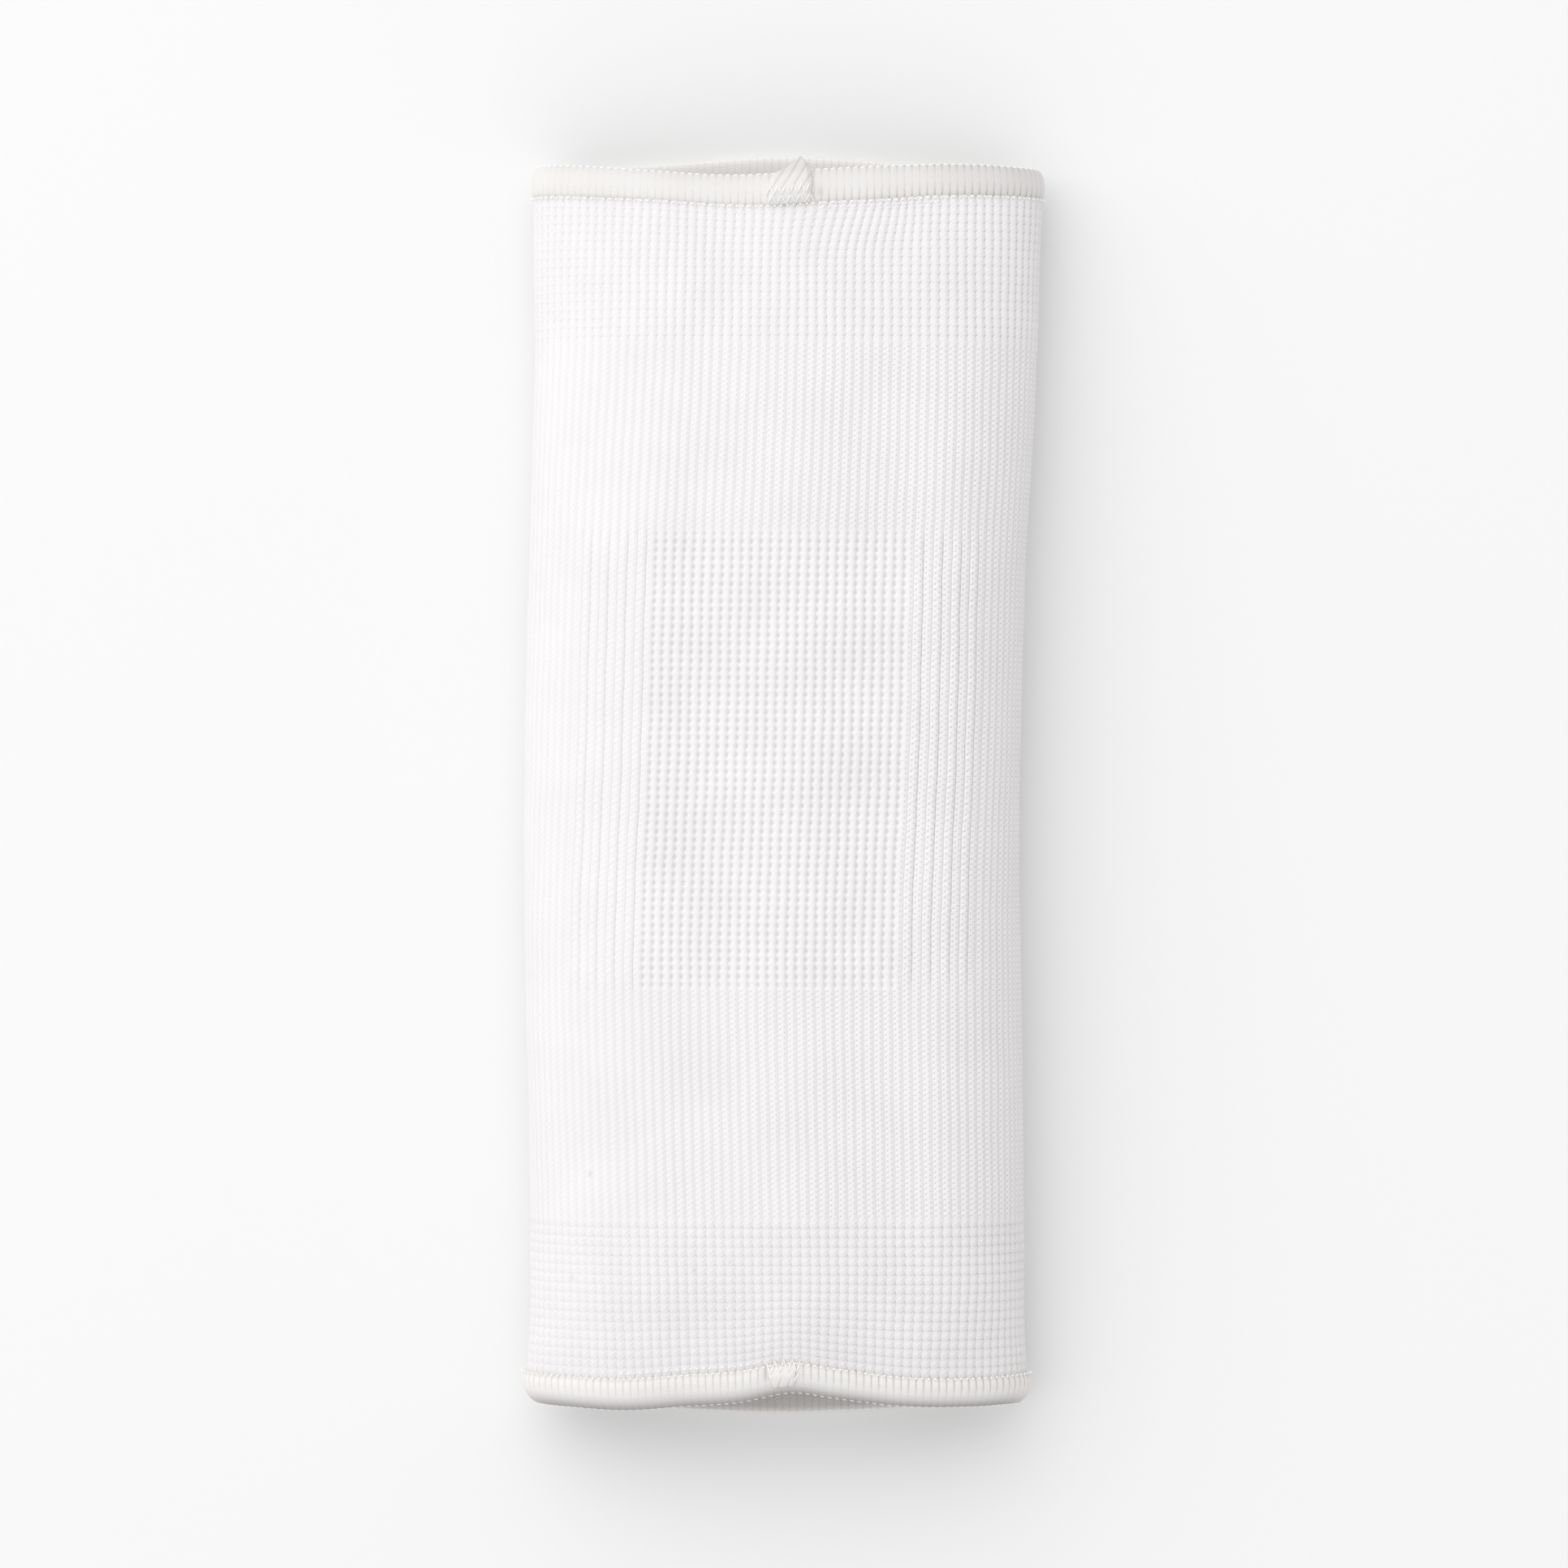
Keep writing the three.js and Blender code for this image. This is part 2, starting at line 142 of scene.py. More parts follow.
@dataclass
class TubeForm:
    """The outer skin of the tube as it lies, by the same named sizes as the CAD solids.

    Each cross-section is a flat underside, a quarter of an ellipse up to each widest point, a quarter of an
    ellipse over to the crown on each side, and a slightly raised crown. It is worked out once as a table of
    places along the tube by shares of the girth, and read between the table's entries.
    """

    length: float = 296.0
    width: float = 119.0
    height: float = 38.5
    wall: float = 2.0
    pad_thickness: float = 5.0
    pad_width: float = 84.0
    pad_length: float = 128.0
    pad_edge: float = 20.0
    band_height: float = 7.4
    run_in: float = 22.0
    foot_share: float = 0.24
    crown_share: float = 0.04
    proud: dict[End, float] = field(default_factory=lambda: {End.THIGH: 0.6, End.CALF: 1.5})
    # at, left, right, height, waist
    sections: tuple[tuple[float, ...], ...] = (
        (-1.02, 1.02, 1.0, 0.79, 0.44),
        (-0.95, 1.018, 0.993, 0.84, 0.42),
        (-0.89, 1.01, 0.985, 0.9, 0.4),
        (-0.78, 1.005, 0.983, 0.96, 0.38),
        (-0.57, 1.01, 0.98, 0.985, 0.38),
        (-0.33, 1.024, 0.972, 1.0, 0.38),
        (-0.1, 1.03, 0.963, 1.0, 0.38),
        (0.14, 1.024, 0.973, 1.0, 0.38),
        (0.38, 1.008, 0.992, 0.985, 0.38),
        (0.53, 0.998, 1.016, 0.955, 0.39),
        (0.69, 0.987, 1.034, 0.9, 0.41),
        (0.85, 0.992, 1.047, 0.83, 0.43),
        (0.95, 0.993, 1.058, 0.78, 0.44),
        (1.02, 0.993, 1.06, 0.76, 0.45),
    )
    # at, left, right, drift
    shoulders: tuple[tuple[float, ...], ...] = (
        (-1.0, 0.6, 0.45, -0.012),
        (-0.33, 0.6, 0.39, -0.023),
        (0.03, 0.605, 0.405, 0.01),
        (0.38, 0.61, 0.42, 0.011),
        (0.69, 0.66, 0.48, 0.01),
        (1.0, 0.7, 0.5, 0.014),
    )
    # share of the girth, how far the rim stands out as a share of the band's height
    rims: dict[End, tuple[tuple[float, float], ...]] = field(
        default_factory=lambda: {
            End.THIGH: (
                (-0.5, 0.49),
                (-0.4, 0.27),
                (-0.29, 0.02),
                (-0.2, -0.15),
                (-0.12, -0.28),
                (-0.06, -0.38),
                (-0.015, -0.34),
                (0.02, -0.22),
                (0.07, -0.14),
                (0.15, -0.08),
                (0.26, -0.08),
                (0.4, 0.27),
            ),
            End.CALF: (
                (-0.5, 0.46),
                (-0.4, 0.33),
                (-0.27, -0.02),
                (-0.19, 0.01),
                (-0.135, 0.07),
                (-0.08, -0.05),
                (-0.032, -0.15),
                (0.015, -0.45),
                (0.055, -0.27),
                (0.115, -0.01),
                (0.18, 0.04),
                (0.24, 0.02),
                (0.4, 0.33),
            ),
        }
    )
    # middle wale, reach, how much further in the seam is sewn than the CAD's even band has it
    dips: dict[End, tuple[tuple[float, float, float], ...]] = field(
        default_factory=lambda: {
            End.THIGH: ((5.0, 12.0, 1.15), (-25.0, 9.0, -0.35)),
            End.CALF: ((-2.0, 13.0, 0.5), (0.0, 40.0, 0.35)),
        }
    )
    # x, y, radius, how grey: small marks on the upper side
    marks: tuple[tuple[float, float, float, float], ...] = (
        (-45.9, -92.6, 0.45, 0.4),
        (-25.6, 68.8, 0.45, 0.35),
        (-50.2, -117.0, 0.45, 0.3),
        (-21.2, -114.9, 0.5, 0.25),
        (-12.8, -113.1, 0.45, 0.3),
        (8.6, 141.0, 0.9, 0.2),
        (-4.1, -139.6, 1.2, 0.3),
    )
    turn_steps: int = 40
    table_reach: float = 160.0
    table_step: float = 1.0
    table_columns: int = 1200

    def __post_init__(self) -> None:
        """Works out the table of skin points and outward directions, and the CAD frame's offset."""
        count = round(2 * self.table_reach / self.table_step) + 1
        along = np.linspace(-self.table_reach, self.table_reach, count)
        outline_x, outline_z = self._outlines(along)
        steps = np.hypot(np.diff(outline_x, axis=1), np.diff(outline_z, axis=1))
        run = np.concatenate([np.zeros((count, 1)), np.cumsum(steps, axis=1)], axis=1)
        self.girth = float(run[count // 2, -1])
        shares = np.arange(self.table_columns) / self.table_columns
        # Every outline is set behind the one before it on one long line, so one interpolation serves all.
        stagger = np.arange(count)[:, None] * (run.max() + 1)
        wanted = (shares[None, :] * run[:, -1:] + stagger).ravel()
        reach = (run + stagger).ravel()
        self._x = np.interp(wanted, reach, outline_x.ravel()).reshape(count, -1)
        self._z = np.interp(wanted, reach, outline_z.ravel()).reshape(count, -1)
        around = 5
        across_x = np.roll(self._x, -around, axis=1) - np.roll(self._x, around, axis=1)
        across_z = np.roll(self._z, -around, axis=1) - np.roll(self._z, around, axis=1)
        along_x = np.gradient(self._x, self.table_step, axis=0)
        along_z = np.gradient(self._z, self.table_step, axis=0)
        normal = np.stack([-across_z, across_z * along_x - across_x * along_z, across_x], axis=-1)
        self._normal = normal / np.linalg.norm(normal, axis=-1, keepdims=True)
        sleeve_low, sleeve_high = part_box("knit_sleeve")
        shown = np.abs(along) < self.length / 2 - self.band_height
        own_middle = (self._x[shown].min() + self._x[shown].max()) / 2
        own_top = self.seam(End.THIGH, np.linspace(-HALF_ROUND, HALF_ROUND, 1201)).max()
        self.offset = np.array(
            [
                (sleeve_low[0] + sleeve_high[0]) / 2 / MM - own_middle,
                sleeve_high[1] / MM - own_top,
                0.0,
            ]
        )

    def _outlines(self, along: np.ndarray) -> tuple[np.ndarray, np.ndarray]:
        """Outlines from the middle column over the right flank, the underside and the left flank back to it.

        Args:
            along: Places along the tube.

        Returns:
            X and Z of the points, one row for each place.
        """
        half = self.width / 2
        at = along / (self.length / 2)
        left = -half * smooth_lookup(self.sections, 1, at)
        right = half * smooth_lookup(self.sections, 2, at)
        crown_left = left + half * smooth_lookup(self.shoulders, 1, at)
        crown_right = right - half * smooth_lookup(self.shoulders, 2, at)
        middle = (left + right) / 2 + half * smooth_lookup(self.shoulders, 3, at)
        seam = self.length / 2 - self.band_height
        proud = np.where(along > 0, self.proud[End.THIGH], self.proud[End.CALF])
        under = proud * smoothstep(np.abs(along), seam - self.run_in, seam)
        crown = self.height * (smooth_lookup(self.sections, 3, at) - self.crown_share)
        waist = under + (crown - under) * smooth_lookup(self.sections, 4, at)
        foot = np.full_like(left, half * self.foot_share)
        steps = np.linspace(0, 1, self.turn_steps + 1)[None, :]

        def column(values: np.ndarray) -> np.ndarray:
            """The values as a column, one row for each place."""
            return values[:, None]

        def crown_run(start: np.ndarray, end: np.ndarray) -> tuple[np.ndarray, np.ndarray]:
            """Straight across, lifted by the squared sine of the share of the way across the crown."""
            x = mix(column(start), column(end), steps)
            share = (x - column(crown_left)) / column(crown_right - crown_left)
            return x, column(crown) + self.height * self.crown_share * np.sin(np.pi * share) ** 2

        def quarter(
            x: np.ndarray, radius_x: np.ndarray, radius_z: np.ndarray, start: float
        ) -> tuple[np.ndarray, np.ndarray]:
            """Quarter of an ellipse round the waist's height, clockwise from an angle."""
            angle = start - steps * np.pi / 2
            return (
                column(x) + column(radius_x) * np.cos(angle),
                column(waist) + column(radius_z) * np.sin(angle),
            )

        over, below = crown - waist, waist - under
        parts = [
            crown_run(middle, crown_right),
            quarter(crown_right, right - crown_right, over, np.pi / 2),
            quarter(right - foot, foot, below, 0.0),
            quarter(left + foot, foot, below, -np.pi / 2),
            quarter(crown_left, crown_left - left, over, -np.pi),
            crown_run(crown_left, middle),
        ]
        return np.hstack([part[0] for part in parts]), np.hstack([part[1] for part in parts])

    def seam(self, end: End, wales: np.ndarray) -> np.ndarray:
        """Where the seam between the knit and a band runs along Y, at each wale."""
        around = (np.asarray(wales) / WALES_AROUND + 0.5) % 1 - 0.5
        rows = np.asarray(self.rims[end])
        turns = np.concatenate([rows + (turn, 0.0) for turn in (-1, 0, 1)])
        out = smooth_lookup(turns, 1, around)
        dip = bells(self.dips[end], wales)
        return end.value * (self.length / 2 + self.band_height * (out - 1) - dip)

    def lifted(self, wales: np.ndarray, along: np.ndarray, height: np.ndarray) -> np.ndarray:
        """Points that stand off the skin by a height along its outward direction.

        The skin and its direction are read from the table, evenly between the four entries around a place.

        Args:
            wales: Places round the tube.
            along: Places along it.
            height: How far out, or in where it is below 0.

        Returns:
            The points, with a last axis of X, Y and Z.
        """
        wales, along, height = np.broadcast_arrays(wales, along, height)
        column = (wales / WALES_AROUND % 1) * self.table_columns
        row = np.clip((along + self.table_reach) / self.table_step, 0, len(self._x) - 1.001)
        first_row, first_column = row.astype(int), column.astype(int) % self.table_columns
        next_column = (first_column + 1) % self.table_columns
        row_share, column_share = row - first_row, column - np.floor(column)

        def read(table: np.ndarray) -> np.ndarray:
            """The table's values between its entries."""
            extra = (None,) * (table.ndim - 2)
            across = column_share[(...,) + extra]
            near = mix(table[first_row, first_column], table[first_row, next_column], across)
            far = mix(table[first_row + 1, first_column], table[first_row + 1, next_column], across)
            return mix(near, far, row_share[(...,) + extra])

        normal = read(self._normal)
        skin = np.stack([read(self._x), along, read(self._z)], axis=-1)
        points = skin + height[..., None] * normal / np.linalg.norm(normal, axis=-1, keepdims=True)
        points[..., 2] = np.maximum(points[..., 2], 0.02)
        return points

    def marked(self, points: np.ndarray) -> np.ndarray:
        """How grey the marks on the upper side make each point: a bell round each mark's middle."""
        stain_and_shade = np.zeros(points.shape[:2])
        for x, y, radius, grey in self.marks:
            away = np.hypot(points[..., 0] + self.offset[0] - x, points[..., 1] + self.offset[1] - y)
            stain_and_shade += grey * bell(away, 0, radius) * (points[..., 2] > self.height / 2)
        return stain_and_shade

    def wall_at(self, wales: np.ndarray, along: np.ndarray) -> np.ndarray:
        """Thickness of the wall, with the padding over the kneecap fading out to its edge."""
        from_front = ((wales / WALES_AROUND + 1) % 1 - 0.5) * self.girth
        reach = np.hypot(from_front / (self.pad_width / 2), along / (self.pad_length / 2))
        return self.wall + self.pad_thickness * smoothstep(1 - reach, 0, self.pad_edge / (self.pad_width / 2))


@dataclass
class Surface:
    """Points on a grid, with what the materials read there.

    Attributes:
        points: Rows by columns by 3, in millimetres in the form's frame.
        wales: Place round the tube, for the stitch pattern.
        courses: Place along it, counted in stitches.
        tone: How far into a groove the place lies, from 0 to 1, which sets the painted shade there.
        stain_and_shade: How grey small marks and painted shade make the place. None means clean.
        round: Whether the last column joins the first.
        closed: Whether the last row joins the first.
        kept: Which of the grid's quads are made. All where it is None.
    """

    points: np.ndarray
    wales: np.ndarray
    courses: np.ndarray
    tone: np.ndarray
    stain_and_shade: Optional[np.ndarray] = None
    round: bool = False
    closed: bool = False
    kept: Optional[np.ndarray] = None

    def turned(self) -> "Surface":
        """The same surface with its rows in the other order, so that its faces look the other way."""
        for key in ("points", "wales", "courses", "tone", "stain_and_shade", "kept"):
            rows = getattr(self, key)
            setattr(self, key, None if rows is None else rows[::-1])
        return self


def grid_quads(surface: Surface) -> tuple[np.ndarray, np.ndarray]:
    """Quads between neighbouring rows and columns of a grid, anticlockwise from outside.

    Args:
        surface: The grid.

    Returns:
        The corners' numbers, and for each corner how many whole turns of wales its place is past the grid.
    """
    rows, columns = surface.points.shape[:2]
    row_count = rows if surface.closed else rows - 1
    column_count = columns if surface.round else columns - 1
    row, column = np.mgrid[0:row_count, 0:column_count]
    if surface.kept is not None:
        row, column = row[surface.kept], column[surface.kept]
    row, column = row.ravel(), column.ravel()
    corner_rows = np.stack([row, row, row + 1, row + 1], axis=-1) % rows
    corner_columns = np.stack([column, column + 1, column + 1, column], axis=-1)
    return corner_rows * columns + corner_columns % columns, corner_columns // columns


def make_piece(
    name: str,
    form: TubeForm,
    points: np.ndarray,
    face_sets: Sequence[np.ndarray],
    values: dict[str, np.ndarray],
    stitch: Optional[np.ndarray] = None,
) -> bpy.types.Object:
    """Writes a mesh in metres in the CAD frame, from points in the form's frame.

    Args:
        name: The piece's name.
        form: The tube that gives the frame's offset.
        points: The points, n by 3.
        face_sets: Arrays of corner numbers, each with its own count of corners a face.
        values: Numbers at the points, by the name of the attribute.
        stitch: The pattern's place at each corner in turn, for the UV map.

    Returns:
        The piece's object.
    """
    used, corners = np.unique(np.concatenate([faces.ravel() for faces in face_sets]), return_inverse=True)
    counts = np.concatenate([np.full(len(faces), faces.shape[1]) for faces in face_sets])
    starts = np.concatenate([[0], np.cumsum(counts)[:-1]])
    mesh = bpy.data.meshes.new(name)
    mesh.vertices.add(len(used))
    mesh.vertices.foreach_set("co", ((points[used] + form.offset) * MM).astype(np.float32).ravel())
    mesh.loops.add(len(corners))
    mesh.loops.foreach_set("vertex_index", corners.ravel().astype(np.int32))
    mesh.polygons.add(len(counts))
    mesh.polygons.foreach_set("loop_start", starts.astype(np.int32))
    mesh.update(calc_edges=True)
    for key, numbers in values.items():
        layer = mesh.attributes.new(key, "FLOAT", "POINT")
        layer.data.foreach_set("value", numbers[used].astype(np.float32))
    if stitch is not None:
        layer = mesh.uv_layers.new(name="stitch")
        layer.data.foreach_set("uv", stitch.astype(np.float32).ravel())
    mesh.shade_smooth()
    piece = bpy.data.objects.new(name, mesh)
    bpy.context.scene.collection.objects.link(piece)
    return piece


def surface_piece(name: str, form: TubeForm, surface: Surface) -> bpy.types.Object:
    """Makes a grid into a piece whose UV map holds wales and courses.

    Args:
        name: The piece's name.
        form: The tube that it belongs to.
        surface: The grid.

    Returns:
        The piece's object.
    """
    quads, turns = grid_quads(surface)
    flat = quads.ravel()
    wales = surface.wales.ravel()[flat] + WALES_AROUND * turns.ravel()
    stitch = np.stack([wales, surface.courses.ravel()[flat]], axis=-1)
    stain_and_shade = np.zeros(surface.tone.size) if surface.stain_and_shade is None else surface.stain_and_shade.ravel()
    # The painted shade in grooves and holes fades towards the left flank, as painted light on the side facing the
    # lamp.
    clear = mix(0.15, 1.0, from_left(surface.wales.ravel()))
    values = {"tone": surface.tone.ravel(), "stain_and_shade": stain_and_shade, "clear": clear}
    return make_piece(name, form, surface.points.reshape(-1, 3), [quads], values, stitch)


def ball_template() -> tuple[np.ndarray, np.ndarray]:
    """A ball from a cube whose sides are cut in four and pushed out to the unit sphere.

    Returns:
        26 points and 24 quads.
    """
    line = np.linspace(-1, 1, 3)
    across, up = np.meshgrid(line, line)
    sides = np.zeros((6, 3, 3, 3))
    for index, (axis, sign) in enumerate((axis, sign) for axis in range(3) for sign in (1.0, -1.0)):
        sides[index, ..., axis] = sign
        sides[index, ..., (axis + 1) % 3] = across * sign
        sides[index, ..., (axis + 2) % 3] = up
    points, merged = np.unique(sides.reshape(-1, 3), axis=0, return_inverse=True)
    first = (np.arange(2)[:, None] * 3 + np.arange(2)).reshape(-1, 1)
    side_quads = first + np.array([0, 1, 4, 3])
    quads = (np.arange(6)[:, None, None] * 9 + side_quads[None]).reshape(-1, 4)
    return points / np.linalg.norm(points, axis=1, keepdims=True), merged.ravel()[quads]


def beads(centres: np.ndarray, axes: np.ndarray) -> tuple[np.ndarray, np.ndarray]:
    """Copies of the ball template, each stretched along its own three axes and moved to its centre.

    Args:
        centres: n by 3.
        axes: n by 3 by 3. Each row of an entry is one axis, as long as the bead's radius there.

    Returns:
        All points and all quads.
    """
    ball, quads = ball_template()
    points = centres[:, None, :] + np.einsum("kj,njc->nkc", ball, axes)
    shifts = np.arange(len(centres))[:, None, None] * len(ball)
    return points.reshape(-1, 3), (quads[None] + shifts).reshape(-1, 4)


def strand(path: np.ndarray, outward: np.ndarray, radius: float, sides: int = 6) -> list[np.ndarray]:
    """A thread: a circle carried along a path, drawn in at both ends and closed there.

    Args:
        path: The middle of the thread, n by 3.
        outward: Direction away from the cloth at each point.
        radius: The thread's radius.
        sides: Points in the circle.

    Returns:
        The points, the quads and the two end faces.
    """
    along = np.gradient(path, axis=0)
    along /= np.linalg.norm(along, axis=1, keepdims=True)
    aside = np.cross(along, outward)
    aside /= np.linalg.norm(aside, axis=1, keepdims=True)
    up = np.cross(aside, along)
    angle = np.arange(sides) / sides * 2 * np.pi
    size = np.full(len(path), radius)
    size[[0, -1]] *= 0.35
    ring = np.cos(angle)[None, :, None] * aside[:, None] + np.sin(angle)[None, :, None] * up[:, None]
    points = path[:, None] + size[:, None, None] * ring
    row, column = (part.ravel() for part in np.mgrid[0 : len(path) - 1, 0:sides])
    beside = (column + 1) % sides
    quads = np.stack(
        [row * sides + column, (row + 1) * sides + column, (row + 1) * sides + beside, row * sides + beside], -1
    )
    last = (len(path) - 1) * sides
    ends = np.stack([np.arange(sides), last + np.arange(sides)[::-1]])
    return [points.reshape(-1, 3), quads, ends]


def linear(hex_colour: str) -> tuple[float, float, float, float]:
    """A colour's linear values from its sRGB hex value, by the sRGB curve."""
    parts = (int(hex_colour[place : place + 2], 16) / 255 for place in (1, 3, 5))
    red, green, blue = (p / 12.92 if p <= 0.04045 else ((p + 0.055) / 1.055) ** 2.4 for p in parts)
    return red, green, blue, 1.0


def add_node(
    tree: bpy.types.NodeTree,
    kind: str,
    settings: Optional[dict[str, object]] = None,
    inputs: Optional[dict[object, object]] = None,
) -> bpy.types.Node:
    """Adds a node with its settings, and sets or links its inputs.

    Args:
        tree: The node tree.
        kind: The node's type, without the word that all shader nodes start with.
        settings: The node's own properties.
        inputs: Values, or other nodes or their outputs to link, by the input's name or number.

    Returns:
        The node.
    """
    node = tree.nodes.new("ShaderNode" + kind)
    for key, value in (settings or {}).items():
        setattr(node, key, value)
    for key, value in (inputs or {}).items():
        if isinstance(value, bpy.types.Node):
            value = value.outputs[0]
        if isinstance(value, bpy.types.NodeSocket):
            tree.links.new(value, node.inputs[key])
        else:
            node.inputs[key].default_value = value
    return node


@dataclass(frozen=True)
class YarnFinish:
    """A cloth of white yarn: matt, with a faint fuzz that lightens its turned edges.

    The grooves between ribs carry painted shade, darker and warmer than the crests. The stitches show as small
    chevrons, two slanting legs a wale, as two columns of small stitch holes a rib, half a stitch apart and
    darkened by painted shade, and as a light strand that leans across the groove once a course.

    Attributes:
        name: The material's name.
        crest: Colour of the raised yarn.
        groove: Colour of the painted shade deep in the grooves.
        stain_and_shade: Colour of small marks and of painted shade.
        groove_share: How far the groove's painted shade is mixed in at the most.
        chevron: Height of the slanting stitch legs, in millimetres.
        legs: Slant of the legs, in courses to half a wale.
        stitches: Stitches to a course.
        hole_place: Distance of the stitch holes from the rib's middle, in wales.
        hole_size: Their half width in wales and half height in stitches.
        hole_share: How far the groove's painted shade shows in them.
        strand_lean: How many wales a strand leans over in one course.
        strand_share: How far it lightens the groove.
        fibre: Height of the loose fibres, in millimetres.
        roughness: The yarn's roughness.
        fuzz: Weight of the sheen that loose fibres give.
    """

    name: str
    crest: str
    groove: str
    stain_and_shade: str = "#9A9596"
    groove_share: float = 0.8
    chevron: float = 0.05
    legs: float = 1.0
    stitches: float = 1.0
    hole_place: float = 0.22
    hole_size: tuple[float, float] = (0.1, 0.24)
    hole_share: float = 0.0
    strand_lean: float = 0.3
    strand_share: float = 0.0
    fibre: float = 0.03
    roughness: float = 0.9
    fuzz: float = 0.15

    def build(self) -> bpy.types.Material:
        """Makes the material."""
        material = bpy.data.materials.new(self.name)
        material.use_nodes = True
        tree = material.node_tree
        tree.nodes.clear()
        place = add_node(tree, "TexCoord").outputs["Object"]
        cloth = add_node(tree, "SeparateXYZ", None, {0: add_node(tree, "UVMap", {"uv_map": "stitch"})})
        wale, course = cloth.outputs["X"], cloth.outputs["Y"]
        tone = add_node(tree, "Attribute", {"attribute_name": "tone"}).outputs["Fac"]
        stain_and_shade = add_node(tree, "Attribute", {"attribute_name": "stain_and_shade"}).outputs["Fac"]
        # Distance from the middle of a rib, in wales, slants each course into a chevron.
        share = add_node(tree, "Math", {"operation": "FRACT"}, {0: wale})
        side = add_node(tree, "Math", {"operation": "SUBTRACT"}, {0: share, 1: 0.5})
        off = add_node(tree, "Math", {"operation": "ABSOLUTE"}, {0: side})
        count = add_node(tree, "Math", {"operation": "MULTIPLY"}, {0: course, 1: self.stitches})
        leg = add_node(tree, "Math", {"operation": "MULTIPLY_ADD"}, {0: off, 1: 2 * self.legs, 2: count})
        turn = add_node(tree, "Math", {"operation": "MULTIPLY"}, {0: leg, 1: 2 * math.pi})
        wave = add_node(tree, "Math", {"operation": "SINE"}, {0: turn})
        # A stitch hole is an ellipse in wales and stitches. The right column lies half a stitch higher.
        wide, tall = self.hole_size
        right = add_node(tree, "Math", {"operation": "GREATER_THAN"}, {0: side, 1: 0.0})
        row = add_node(tree, "Math", {"operation": "MULTIPLY_ADD"}, {0: right, 1: 0.5, 2: count})
        row_share = add_node(tree, "Math", {"operation": "FRACT"}, {0: row})
        up = add_node(
            tree, "Math", {"operation": "MULTIPLY_ADD"}, {0: row_share, 1: 1 / tall, 2: -0.5 / tall}
        )
        aside = add_node(
            tree, "Math", {"operation": "MULTIPLY_ADD"}, {0: off, 1: 1 / wide, 2: -self.hole_place / wide}
        )
        square = add_node(tree, "Math", {"operation": "MULTIPLY"}, {0: aside, 1: aside})
        reach = add_node(tree, "Math", {"operation": "MULTIPLY_ADD"}, {0: up, 1: up, 2: square})
        # The stitch holes' painted shade and bump fade towards the left flank, as painted light on the side
        # facing the lamp.
        clear = add_node(tree, "Attribute", {"attribute_name": "clear"}).outputs["Fac"]
        hole = add_node(tree, "MapRange", None, {0: reach, 1: 0.0, 2: 1.0, 3: clear, 4: 0.0})
        # A strand runs across the groove, leaning evenly with the share of the course.
        past = add_node(tree, "Math", {"operation": "ADD"}, {0: wale, 1: 0.5})
        past_share = add_node(tree, "Math", {"operation": "FRACT"}, {0: past})
        course_share = add_node(tree, "Math", {"operation": "FRACT"}, {0: course})
        lean = add_node(
            tree,
            "Math",
            {"operation": "MULTIPLY_ADD"},
            {0: course_share, 1: -self.strand_lean, 2: self.strand_lean / 2 - 0.5},
        )
        beside = add_node(tree, "Math", {"operation": "ADD"}, {0: past_share, 1: lean})
        gap = add_node(tree, "Math", {"operation": "ABSOLUTE"}, {0: beside})
        strand = add_node(
            tree, "MapRange", None, {0: gap, 1: 0.02, 2: 0.09, 3: self.strand_share, 4: 0.0}
        )
        # Heights in millimetres: legs and strands stand up, holes lie deep, and loose fibres cover both.
        fibres = add_node(
            tree, "TexNoise", None, {"Vector": place, "Scale": 2200.0, "Detail": 3.0, "Roughness": 0.6}
        )
        relief = add_node(tree, "Math", {"operation": "MULTIPLY"}, {0: wave, 1: self.chevron})
        pitted = add_node(
            tree, "Math", {"operation": "MULTIPLY_ADD"}, {0: hole, 1: -0.12 * self.hole_share, 2: relief}
        )
        corded = add_node(tree, "Math", {"operation": "MULTIPLY_ADD"}, {0: strand, 1: 0.12, 2: pitted})
        height = add_node(
            tree, "Math", {"operation": "MULTIPLY_ADD"}, {0: fibres, 1: 2 * self.fibre, 2: corded}
        )
        bump = add_node(tree, "Bump", None, {"Strength": 0.8, "Distance": MM, "Height": height})
        # Deep places take the groove's colour as painted shade, and a slow drift of the yarn's own shade breaks
        # up the white.
        fluff = add_node(
            tree, "TexNoise", None, {"Vector": place, "Scale": 70.0, "Detail": 3.0, "Roughness": 0.55}
        )
        drift = add_node(tree, "MapRange", None, {0: fluff, 1: 0.35, 2: 0.7, 3: 0.0, 4: 0.06})
        dark = add_node(
            tree, "Math", {"operation": "MULTIPLY_ADD"}, {0: tone, 1: self.groove_share, 2: drift}
        )
        dotted = add_node(
            tree, "Math", {"operation": "MULTIPLY_ADD"}, {0: hole, 1: self.hole_share, 2: dark}
        )
        deep = add_node(
            tree, "Math", {"operation": "SUBTRACT", "use_clamp": True}, {0: dotted, 1: strand}
        )
        clean = add_node(
            tree,
            "Mix",
            {"data_type": "RGBA"},
            {0: deep, 6: linear(self.crest), 7: linear(self.groove)},
        )
        # Small marks, and painted shade where it is set, grey the colour.
        colour = add_node(
            tree,
            "Mix",
            {"data_type": "RGBA"},
            {0: stain_and_shade, 6: clean.outputs[2], 7: linear(self.stain_and_shade)},
        )
        shader = add_node(
            tree,
            "BsdfPrincipled",
            None,
            {
                "Base Color": colour.outputs[2],
                "Roughness": self.roughness,
                "IOR": 1.53,
                "Specular IOR Level": 0.25,
                "Sheen Weight": self.fuzz,
                "Sheen Roughness": 0.6,
                "Normal": bump,
            },
        )
        add_node(tree, "OutputMaterial", None, {0: shader})
        return material


